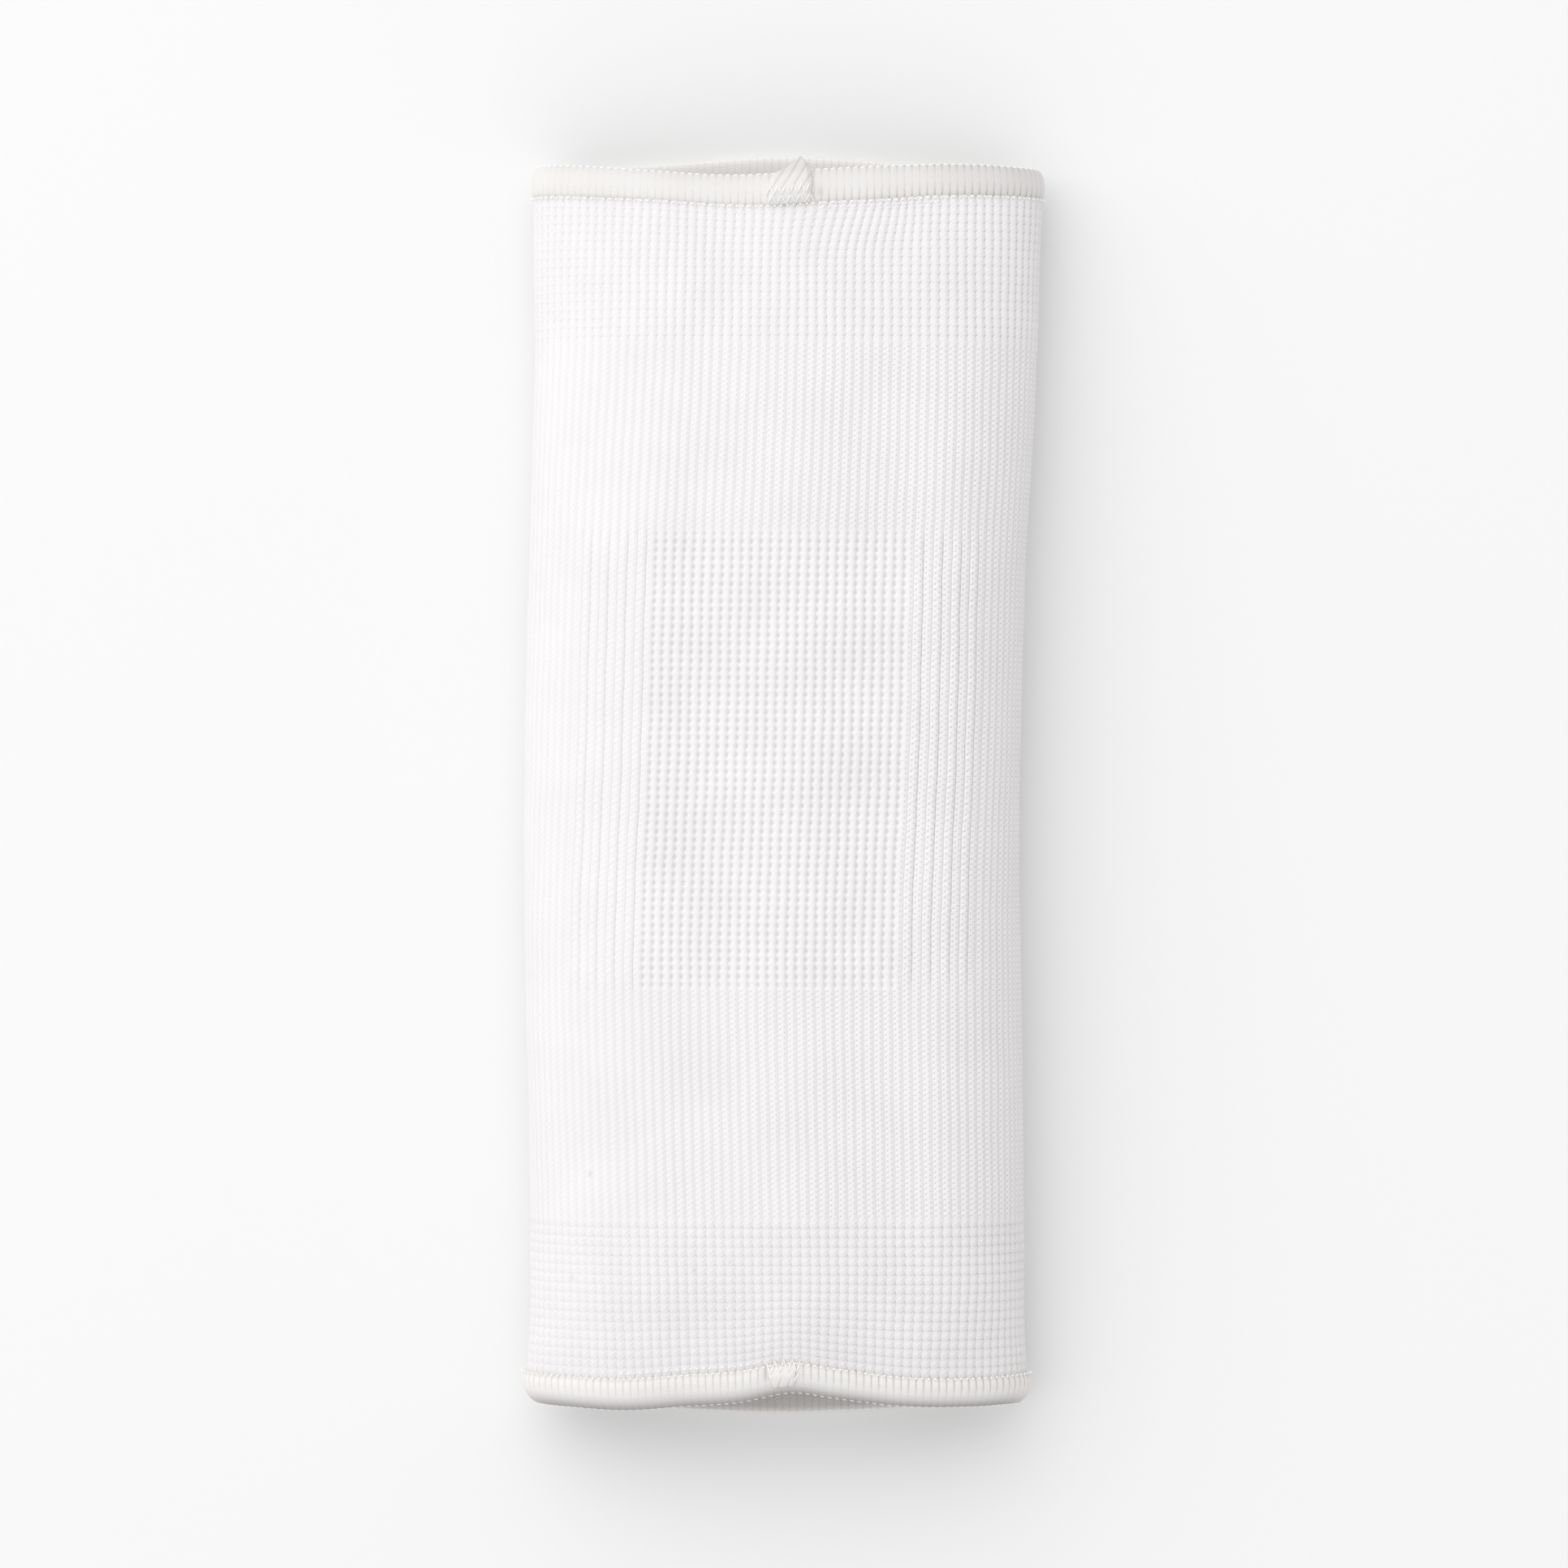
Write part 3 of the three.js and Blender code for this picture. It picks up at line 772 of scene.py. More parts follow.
# Combed white cotton yarn, knitted in plain ribs: matt, with two columns of small stitch holes a rib, and
# painted shade in its grooves and holes.
KNIT_YARN = YarnFinish(
    "white_rib_knit_yarn", "#EEECED", "#A9A3A4", chevron=0.03, legs=0.8, hole_share=0.48, groove_share=0.46
)
# The same yarn in waffle knit: grey-brown painted shade in dots where the grooves cross, and light strands
# between them.
CUFF_YARN = YarnFinish(
    "white_waffle_knit_yarn",
    "#EEECED",
    "#9E948F",
    chevron=0.03,
    stitches=2.0,
    hole_share=0.12,
    groove_share=0.52,
    strand_share=0.25,
)
# The same yarn over open mesh: smooth ribs, and grey-brown painted shade in clusters of small holes in the
# grooves.
MESH_YARN = YarnFinish(
    "white_open_mesh_yarn",
    "#EEECED",
    "#999093",
    chevron=0.02,
    legs=0.5,
    hole_place=0.37,
    hole_size=(0.07, 0.13),
    hole_share=0.28,
    groove_share=0.18,
)
# The face that touches the leg: the same yarn seen from its plain back, darkened as painted shade inside the
# tube.
SHADED_INNER_YARN = YarnFinish("shaded_knit_backing_yarn", "#D9D3CF", "#A69C96", chevron=0.06, legs=0.3)
# Woven elastic, covered with soft twisted yarn: near white, with thin brown painted shade between its ribs
# and blue-grey painted shade where the roll turns under, on its inside and on its right flank.
ELASTIC_YARN = YarnFinish(
    "off_white_ribbed_elastic",
    "#F1EFED",
    "#A08F84",
    stain_and_shade="#827A7E",
    groove_share=0.8,
    chevron=0.02,
    fibre=0.05,
)
# Twisted sewing thread: brighter and smoother than the knit.
SEWING_THREAD = YarnFinish(
    "white_sewing_thread", "#FBFBFA", "#C9BFB6", chevron=0.0, fibre=0.015, roughness=0.55, fuzz=0.1
)


@dataclass
class KnitTube:
    """The knitted tube, made as its zones: two waffle cuffs, two plain bodies, the mesh window, the cords on
    both sides of it, the plain front below them, and the inner face.

    Attributes:
        form: The tube's skin.
        upper_border: Where the thigh cuff's waffle starts.
        lower_border: Where the calf cuff's waffle starts.
        window_length: Length of the mesh.
        window_offset: The mesh's middle, from the middle of the tube.
        window_wales: Width of the mesh in wales.
        cord_reach: Wale where the cords end.
        relief_fade: Length over which the cords and the mesh come up at their ends.
        cuff_courses: Rows of pillows in each cuff.
        window_courses: Rows of holes.
        hole: Half the width of a hole in wales, and half its height in courses.
        hole_depth: Depth of a hole down to the elastic thread that crosses behind it.
        mesh_thickness: Thickness of the open mesh.
        body_course: Length of one stitch of the plain knit along the tube.
        column_offsets: Columns of points in a wale, from its groove.
        cuff_row_offsets: Rows of points in a course of the waffle.
    """

    form: TubeForm
    upper_border: float = 104.5
    lower_border: float = -102.5
    window_length: float = 109.0
    window_offset: float = 6.0
    window_wales: int = 27
    cord_reach: float = 22.0
    relief_fade: float = 4.0
    cuff_courses: int = 17
    window_courses: int = 54
    hole: tuple[float, float] = (0.17, 0.33)
    hole_depth: float = 0.27
    mesh_thickness: float = 1.1
    body_course: float = 1.3
    column_offsets: tuple[float, ...] = (-0.5, -0.3, -0.14, 0.0, 0.14, 0.3)
    cuff_row_offsets: tuple[float, ...] = (0.0, 0.14, 0.5, 0.86)

    def __post_init__(self) -> None:
        """Works out the window's edges."""
        self.window_low = self.window_offset - self.window_length / 2
        self.window_high = self.window_offset + self.window_length / 2
        self.window_reach = self.window_wales / 2

    def _wales(self, low: float, high: float, finer: int = 1) -> np.ndarray:
        """Columns of points from one rib's crest to another, close together near the grooves.

        Args:
            low: First crest, a half wale.
            high: Last crest.
            finer: Into how many parts each step is cut.

        Returns:
            The columns, with the last crest.
        """
        cells = np.arange(round(high - low))[:, None] + low + 0.5
        line = np.append((cells + np.array(self.column_offsets)).ravel(), high)
        return np.interp(np.arange((len(line) - 1) * finer + 1) / finer, np.arange(len(line)), line)

    @staticmethod
    def _rib(wales: np.ndarray) -> np.ndarray:
        """Roundness of a rib: the sine of its place across the wale, 0 in a groove and 1 on the crest."""
        return np.abs(np.sin(np.pi * wales))

    def _body_height(self, wales: np.ndarray) -> np.ndarray:
        """Relief of the plain rib knit: a round rib, the root of the sine, 0.3 mm over its groove."""
        return 0.3 * self._rib(wales) ** 0.7 - 0.18

    def _skin(self, wales: np.ndarray, along: np.ndarray, height: np.ndarray) -> np.ndarray:
        """Points of the knit over the tube's skin.

        The ribs lean to the right near the thigh seam, right of the join. Everywhere they waver by the sum of
        two slow sines along the tube, and the cloth ripples by the product of two more.

        Args:
            wales: Places round the tube.
            along: Places along it.
            height: Relief of the knit there.

        Returns:
            The points.
        """
        turn = 2 * np.pi * wales / WALES_AROUND
        lean = 1.3 * bell(wales, 6.0, 6.5) * smoothstep(along, 122, 140) ** 1.5
        waver = 0.025 * np.sin(0.23 * along + 14 * turn) + 0.015 * np.sin(0.61 * along - 7 * turn)
        ripple = 0.08 * np.sin(0.17 * along + 3 * turn) * np.sin(9 * turn - 0.08 * along)
        return self.form.lifted(wales + lean + waver, along, height + ripple)

    def _ring(
        self,
        wales: np.ndarray,
        along: np.ndarray,
        courses: np.ndarray,
        waffle: np.ndarray,
        depth: float,
        line: float = 0.0,
    ) -> Surface:
        """A stretch right round the tube.

        The waffle's pillows are the rib's roundness times the same roundness along the courses.

        Args:
            wales: Columns, one row.
            along: Places along the tube, rows by columns.
            courses: The same counted in stitches.
            waffle: How far the relief is waffle and not plain rib, from 0 to 1.
            depth: Depth of the grooves between pillows of one rib, as a share of the rib's height.
            line: How dark the painted shade in those grooves is.

        Returns:
            The surface.
        """
        wales = np.broadcast_to(wales, along.shape)
        rib = self._rib(wales)
        pillow = np.abs(np.sin(np.pi * courses))
        raised = 0.42 * rib**0.62 * (1 - depth * (1 - pillow**0.6)) - 0.25
        height = mix(self._body_height(wales), raised, waffle)
        # Painted shade in the grooves and in the dots where they cross, faded towards the left flank as painted
        # light on the side facing the lamp.
        groove = (1 - rib) ** 2
        dot = (1 - pillow) ** 2
        clear = mix(0.4, 1.0, from_left(wales))
        tone_plain = 0.42 * groove
        tone_waffle = groove * (0.25 + 0.75 * dot) + line * dot * rib
        tone = np.clip(clear * mix(tone_plain, tone_waffle, waffle), 0, 1)
        points = self._skin(wales, along, height)
        return Surface(points, wales, courses, tone, self.form.marked(points), round=True)

    def cuff(self, end: End) -> Surface:
        """The waffle cuff at one end, with its last row hidden under the band.

        Its courses run straight round at the border, and bend towards the seam's own line with the share of
        the way to it to the power of 2.5.
        """
        wales = self._wales(-HALF_ROUND - 0.5, HALF_ROUND - 0.5)[None, :-1]
        border = self.upper_border if end is End.THIGH else self.lower_border
        seam = self.form.seam(end, wales)
        cells = np.arange(self.cuff_courses)[:, None]
        rows = np.append((cells + np.array(self.cuff_row_offsets)).ravel(), self.cuff_courses)
        share = rows[:, None] / self.cuff_courses
        tucked = 0.8 * smoothstep(share, 0.985, 1.0)
        level = float(seam.mean())
        along = mix(border, level, share) + (seam - level) * share**2.5 + end.value * tucked
        if end is End.CALF:
            along, share = along[::-1], share[::-1]
        courses = np.broadcast_to(share * self.cuff_courses, along.shape)
        waffle = smoothstep(share, 0, 0.06) * np.ones_like(along)
        depth, line = (0.1, 0.1) if end is End.THIGH else (0.3, 0.4)
        surface = self._ring(wales, along, courses, waffle, depth, line)
        # A thin darker line beside the band is painted shade where the band meets the knit.
        surface.tone = np.clip(surface.tone + 0.22 * bell(along - seam, 0, 0.7), 0, 1)
        return surface

    def body(self, low: float, high: float) -> Surface:
        """Plain rib knit right round the tube between two places along it."""
        wales = self._wales(-HALF_ROUND - 0.5, HALF_ROUND - 0.5)[None, :-1]
        along = np.linspace(low, high, round((high - low) / self.body_course) + 1)[:, None] + 0 * wales
        return self._ring(wales, along, along / self.body_course, np.zeros_like(along), 0.0)

    def window(self) -> Surface:
        """The open mesh: smooth ribs at the half wales, and a column of holes in every groove between rungs.

        The ribs stand up as the rib's roundness, and a rung between two holes fills the groove by a bell
        along the course. A hole is a pit down to the elastic thread behind the mesh: a bell across the groove
        times a steeper bell along it, whose exponent has the fourth power.
        """
        wide, tall = self.hole
        columns = self._wales(-self.window_reach, self.window_reach)
        cells = np.arange(self.window_courses)[:, None] + 0.5
        cell_rows = np.array([-0.5, -0.3, -0.12, 0.12, 0.3])
        rows = np.append((cells + cell_rows).ravel(), self.window_courses)
        wales, courses = np.meshgrid(columns, rows)
        off_course = near_whole(courses - 0.5)
        pit = bell(near_whole(wales), 0, wide) * np.exp(-((off_course / tall) ** 4))
        rib = self._rib(wales)
        rib = rib + 0.65 * (1 - rib) * bell(off_course, 0.5, 0.17)
        along = self._window_along(courses)
        edge = smoothstep(self.window_length / 2 - np.abs(along - self.window_offset), 0, 1.8)
        edge = edge * smoothstep(self.window_reach - np.abs(wales), 0, 0.45)
        height = mix(self._body_height(wales), 0.34 * rib**0.8 - 0.2 - self.hole_depth * pit, edge)
        # Painted shade in the holes and in the grooves.
        tone = np.clip(pit * edge + 0.3 * (1 - rib) ** 2, 0, 1)
        points = self._skin(wales, along, height)
        return Surface(points, wales, courses, tone)

    def _window_along(self, courses: np.ndarray) -> np.ndarray:
        """Place along the tube of a course of the mesh, counted from its calf end."""
        return self.window_low + courses * self.window_length / self.window_courses

    def cords(self, side: int) -> Surface:
        """The strip of raised cords on one side of the mesh.

        From the mesh outwards, fishbone cords stand on every second wale with a smooth flat rib between. A
        cord's section is half an ellipse, ribbed by a sine along slanting stitch legs. The channel on the
        right of each cord holds loops, one a course, on both sides of the mesh; painted shade darkens it.

        Args:
            side: 1 for the right, -1 for the left.

        Returns:
            The surface.
        """
        finer = 2
        line = self._wales(self.window_reach, self.cord_reach - 0.5, finer)
        line = side * (line if side > 0 else line[::-1])
        rows = np.arange(self.window_courses * 6 + 1) / 6
        wales, courses = np.meshgrid(line, rows)
        out = np.abs(wales)
        past = out - self.window_reach - 0.5
        strip = np.floor(past)
        across = 2 * (past - strip) - 1
        fishbone = (strip % 2 == 0) & (past >= 0) & (strip < 8)
        smooth_rib = (strip % 2 == 1) & (past >= 0) & (strip < 8)
        dome = np.sqrt(np.clip(1 - across**2, 0, 1))
        legs = np.sin(2 * np.pi * (courses + 0.32 * np.abs(across)))
        cord_height = 0.55 * dome - 0.2 + 0.08 * legs * dome
        rib_height = 0.32 * dome - 0.22
        height = np.where(fishbone, cord_height, np.where(smooth_rib, rib_height, self._body_height(wales)))
        channel = np.where(past >= 0, (strip + (across > 0) + (side < 0)) % 2, 0)
        near_channel = np.clip(1 - (1 - np.abs(across)) / 0.3, 0, 1) * (past >= 0)
        loop = bell((courses + 0.25) % 1, 0.5, 0.22)
        strength, stand = (0.8, 1.0) if side > 0 else (0.4, 0.6)
        # Painted shade: the channels darken, most at each loop, and so do the fishbone's hollows, fainter on the
        # left.
        dark = strength * near_channel * np.where(channel == 1, 0.3 + 0.7 * loop, 0.55)
        height = height - 0.14 * near_channel * channel * loop
        along = self._window_along(courses)
        shown = smoothstep(self.window_length / 2 - np.abs(along - self.window_offset), 0, self.relief_fade)
        height = mix(self._body_height(wales), height, stand * shown)
        patterned = np.clip(dark + 0.12 * strength * fishbone * (legs < 0), 0, 1)
        tone = mix(0.42 * (1 - self._rib(wales)) ** 2, patterned, shown)
        points = self._skin(wales, along, height)
        return Surface(points, wales, along / self.body_course, tone)

    def front(self) -> Surface:
        """The plain rib knit over the kneecap, from cord to cord under the tube."""
        low = self.cord_reach - 0.5
        wales = self._wales(low, WALES_AROUND - low)[None, :]
        count = round(self.window_length / (2 * self.body_course)) + 1
        along = np.linspace(self.window_low, self.window_high, count)[:, None] + 0 * wales
        surface = self._ring(wales, along, along / self.body_course, np.zeros_like(along), 0.0)
        surface.round = False
        return surface

    def inner_face(self) -> Surface:
        """The face that touches the leg, as far in as the wall is thick, open where the mesh is."""
        wales = np.arange(2 * WALES_AROUND)[None, :] / 2 - HALF_ROUND
        upper, lower = self.form.seam(End.THIGH, wales), self.form.seam(End.CALF, wales)
        shares = np.linspace(0, 1, 111)[:, None]
        along = mix(lower - 1.0, upper + 1.0, shares)
        reach = self.window_reach - 0.9
        from_end = self.window_length / 2 - np.abs(along - self.window_offset)
        inside = (np.abs(wales) < reach) & (from_end > 1)
        wall = self.form.wall_at(wales, along)
        thin = smoothstep(reach + 3 - np.abs(wales), 0, 2) * smoothstep(from_end, -4, -1)
        wall = mix(wall, self.mesh_thickness + 0.35, thin)
        # The first and last row dip into the bands, so that no slit shows between them.
        wall = mix(wall, 1.3, smoothstep(np.abs(shares - 0.5), 0.492, 0.5))
        rib = self._rib(wales + 0.25)
        points = self.form.lifted(wales, along, -wall - 0.12 * rib)
        wales = np.broadcast_to(wales, along.shape)
        # Painted shade in the grooves of the plain back.
        tone = 0.4 * (1 - rib) * np.ones_like(along)
        row_inside = inside[:-1] & inside[1:]
        kept = ~(row_inside & np.roll(row_inside, -1, axis=1))
        # Turned round, so that its faces look into the tube.
        return Surface(points, wales, along / self.body_course, tone, round=True, kept=kept).turned()

    def build(self) -> list[bpy.types.Object]:
        """Makes and dresses every zone.

        Returns:
            The pieces.
        """
        girth = self.form.girth
        knit, waffle = KNIT_YARN.build(), CUFF_YARN.build()
        mesh, inner = MESH_YARN.build(), SHADED_INNER_YARN.build()
        middle = girth * (WALES_AROUND - 2 * self.window_reach) / WALES_AROUND
        wale = girth / WALES_AROUND
        cord_width = (self.cord_reach - 0.5 - self.window_reach) * wale
        plans = [
            ("thigh_cuff", self.cuff(End.THIGH), waffle, (girth, 36.0)),
            ("thigh_body", self.body(self.window_high, self.upper_border), knit, (girth, 44.0)),
            ("mesh_window", self.window(), mesh, (self.window_wales * wale, self.window_length)),
            ("right_cords", self.cords(1), knit, (cord_width, self.window_length)),
            ("left_cords", self.cords(-1), knit, (cord_width, self.window_length)),
            ("knee_front", self.front(), knit, (middle - 2 * cord_width, self.window_length)),
            ("calf_body", self.body(self.lower_border, self.window_low), knit, (girth, 54.0)),
            ("calf_cuff", self.cuff(End.CALF), waffle, (girth, 38.0)),
            ("inner_face", self.inner_face(), inner, (girth * 0.95, 281.0)),
        ]
        pieces = []
        for name, surface, material, (width, length) in plans:
            piece = surface_piece(name, self.form, surface)
            piece.data.materials.append(material)
            if name == "mesh_window":
                # The inner face covers the back's edge, so no rim is made. One would shade the front's edge.
                thick = piece.modifiers.new("mesh_thickness", "SOLIDIFY")
                thick.thickness = self.mesh_thickness * MM
                thick.offset = -1
                thick.use_rim = False
            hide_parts("knit_sleeve")
            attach(piece, "root")
            pieces.append(piece)
            log.info("%s: %d faces", name, len(piece.data.polygons))
        return pieces


@dataclass
class HemBand:
    """A ribbed elastic band round one rim, with its picot edge and its row of chain stitches.

    Attributes:
        form: The tube's skin.
        end: Which rim.
        height: Height of the band along the tube.
        thickness: Thickness of the folded band.
        proud: How far it stands out of the knit.
        curl: How far its free edge curls in.
        rib_depth: Depth of the folds between ribs.
        fold_run: How deep the folds are, and how dark their painted shade is, at shares of the height: height,
            depth, darkness.
        weakest_fold: Depth of the folds at the left flank, as a share of that at the right.
        painted_shades: How dark the painted shade is on the free edge where it turns under, and on the inside.
        flank_shade: How dark the painted shade on the right flank is. The rest of the upper side gets half as
            much.
        second_row: First and last wale of the second row of stitches at the seam.
        taller: Where the band stands taller than elsewhere: middle wales, reaches and extra heights.
        ribs: Ribs in the whole girth.
        seam_stitches: Stitches of the first row right round the rim.
        gap: Clearance between the knit and the band.
        seam_allowance: Width of the band's cut that the seam takes up. Not used.
        samples: Points to a rib.
    """

    form: TubeForm
    end: End
    height: float
    thickness: float
    proud: float
    curl: float
    rib_depth: float
    fold_run: tuple[tuple[float, float, float], ...]
    weakest_fold: float
    painted_shades: tuple[float, float]
    flank_shade: float
    second_row: tuple[float, float]
    taller: tuple[tuple[float, float, float], ...]
    ribs: int = 150
    seam_stitches: int = 178
    gap: float = 0.3
    seam_allowance: float = 3.0
    samples: int = 8
    # up, out: the band's section from its seam up the outside and down the inside
    profile: tuple[tuple[float, float], ...] = (
        (0.0, 0.4),
        (0.05, 0.82),
        (0.3, 1.0),
        (0.7, 1.0),
        (0.94, 0.78),
        (1.0, 0.5),
        (0.95, 0.16),
        (0.6, 0.0),
        (0.08, 0.06),
    )

    def place(
        self, wales: np.ndarray, up: np.ndarray, out: np.ndarray, height: np.ndarray
    ) -> np.ndarray:
        """Points of the band, as the CAD places them.

        A share of the height goes along the tube from the seam, and a share of the thickness goes out from
        the inner face, less the curl that grows with the square of the height.

        Args:
            wales: Places round the tube.
            up: Shares of the band's height.
            out: Shares of its thickness.
            height: Extra height over the band.

        Returns:
            The points.
        """
        wales, up, out, height = np.broadcast_arrays(wales, up, out, height)
        tall = self.height + bells(self.form.dips[self.end] + self.taller, wales)
        along = self.form.seam(self.end, wales) + self.end.value * (self.gap + up * (tall - self.gap))
        lift = self.proud - (1 - out) * self.thickness - self.curl * np.minimum(up, 1) ** 2
        return self.form.lifted(wales, along, lift + height)

    def band(self) -> Surface:
        """The band: its section carried round the rim, with a round rib as a root of the sine round it."""
        section = np.asarray(self.profile)
        key = np.arange(-3, len(section) + 4)
        rows = np.column_stack([key, section[key % len(section)]])
        steps = np.arange(len(section) * 2) / 2
        up, out = smooth_lookup(rows, 1, steps)[:, None], smooth_lookup(rows, 2, steps)[:, None]
        count = self.ribs * self.samples
        turn = (np.arange(count) / count - 0.5)[None, :]
        wales = turn * WALES_AROUND
        roundness = np.abs(np.sin(np.pi * turn * self.ribs))
        # The folds are weakest at the left flank and strongest at the right one.
        strength = mix(self.weakest_fold, 1.0, 0.5 + 0.5 * np.sin(2 * np.pi * turn))
        depth = smooth_lookup(self.fold_run, 1, up)
        dark = smooth_lookup(self.fold_run, 2, up)
        outside = smoothstep(out, 0.2, 0.7)
        fold = 1 - roundness**0.45
        inside_share = 0.3 * np.ones_like(depth)
        height = -self.rib_depth * strength * fold * mix(inside_share, depth, outside)
        # Painted shade: thin dark lines in the folds between ribs, and a thin dark line along the seam below the
        # chain stitches.
        lines = (1 - roundness) ** 3.5 * strength
        seam_shade = 0.2 * bell(up, 0.0, 0.06) * outside
        tone = np.clip(lines * mix(inside_share, dark, outside) + seam_shade, 0, 1)
        # Painted shade, on the upper side only: grey where the roll turns under, on the inside, and more on the
        # right flank.
        upper_side = smoothstep(np.cos(2 * np.pi * turn), -0.2, 0.3)
        turned_under_shade, inside_shade = self.painted_shades
        turned_under = smoothstep(up, 0.5, 1.05) * outside
        flank = self.flank_shade * (0.5 + 0.5 * smoothstep(np.sin(2 * np.pi * turn), 0.3, 1.0)) * outside
        stain_and_shade = upper_side * (turned_under_shade * turned_under + inside_shade * (1 - outside) + flank)
        points = self.place(wales, up, out, height)
        stain_and_shade = np.clip(stain_and_shade + self.form.marked(points), 0, 1)
        wales = np.broadcast_to(wales, tone.shape)
        courses = np.broadcast_to(up * 12, tone.shape)
        surface = Surface(points, wales, courses, tone, stain_and_shade, round=True, closed=True)
        return surface.turned() if self.end is End.CALF else surface

    def _frames(
        self, wales: np.ndarray, up: float, out: float, height: float, slant: float, radii: Sequence[float]
    ) -> tuple[np.ndarray, np.ndarray]:
        """Centres and axes of stitches on the band.

        Args:
            wales: Where they lie round the tube.
            up: Share of the band's height.
            out: Share of its thickness.
            height: Extra height over the band.
            slant: Turn of the long axis away from the rim, in radians.
            radii: Along the rim, across it and outwards.

        Returns:
            The centres and the three axes of each.
        """
        here = self.place(wales, up, out, height)
        step = self.place(wales + 0.3, up, out, height) - here
        rise = self.place(wales, up, out, height + 1.0) - here
        along = step / np.linalg.norm(step, axis=1, keepdims=True)
        outward = rise / np.linalg.norm(rise, axis=1, keepdims=True)
        across = np.cross(outward, along)
        turned = math.cos(slant) * along + math.sin(slant) * across
        aside = np.cross(outward, turned)
        axes = np.stack([turned * radii[0], aside * radii[1], outward * radii[2]], axis=1)
        return here, axes

    def build(self, node: str, prefix: str) -> list[bpy.types.Object]:
        """Makes and dresses the band and its stitches.

        Args:
            node: The CAD node that the band replaces.
            prefix: First word of the pieces' names.

        Returns:
            The pieces.
        """
        elastic, thread = ELASTIC_YARN.build(), SEWING_THREAD.build()
        band = surface_piece(f"{prefix}_ribbed_band", self.form, self.band())
        band.data.materials.append(elastic)
        crest = (np.arange(self.ribs) + 0.5) / self.ribs * WALES_AROUND - HALF_ROUND
        stitch_wales = (np.arange(self.seam_stitches) + 0.5) / self.seam_stitches * WALES_AROUND - HALF_ROUND
        low, high = self.second_row
        doubled = stitch_wales[(stitch_wales > low) & (stitch_wales < high)] + 0.35
        rib_width = self.form.girth / self.ribs
        side = self.end.value
        picot = self._frames(crest, 0.985, 0.6, 0.05, 0.18 * side, (0.34 * rib_width, 0.2, 0.24))
        chain = self._frames(stitch_wales, -0.02, 0.85, 0.32, -0.35 * side, (0.36, 0.22, 0.22))
        on_knit = 1 - self.proud / self.thickness
        second = self._frames(doubled, -0.14, on_knit, 0.28, 0.5 * side, (0.42, 0.18, 0.18))
        pieces = [band]
        for name, (centres, axes) in (("picot_edge", picot), ("chain_stitches", chain), ("seam_loops", second)):
            points, quads = beads(centres, axes)
            points[:, 2] = np.maximum(points[:, 2], 0.02)
            values = {"tone": np.zeros(len(points)), "stain_and_shade": np.zeros(len(points))}
            stitch = np.zeros((quads.size, 2))
            piece = make_piece(f"{prefix}_{name}", self.form, points, [quads], values, stitch)
            piece.data.materials.append(thread)
            pieces.append(piece)
        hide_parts(node)
        for piece in pieces:
            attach(piece, "root")
            log.info("%s: %d faces", piece.name, len(piece.data.polygons))
        return pieces


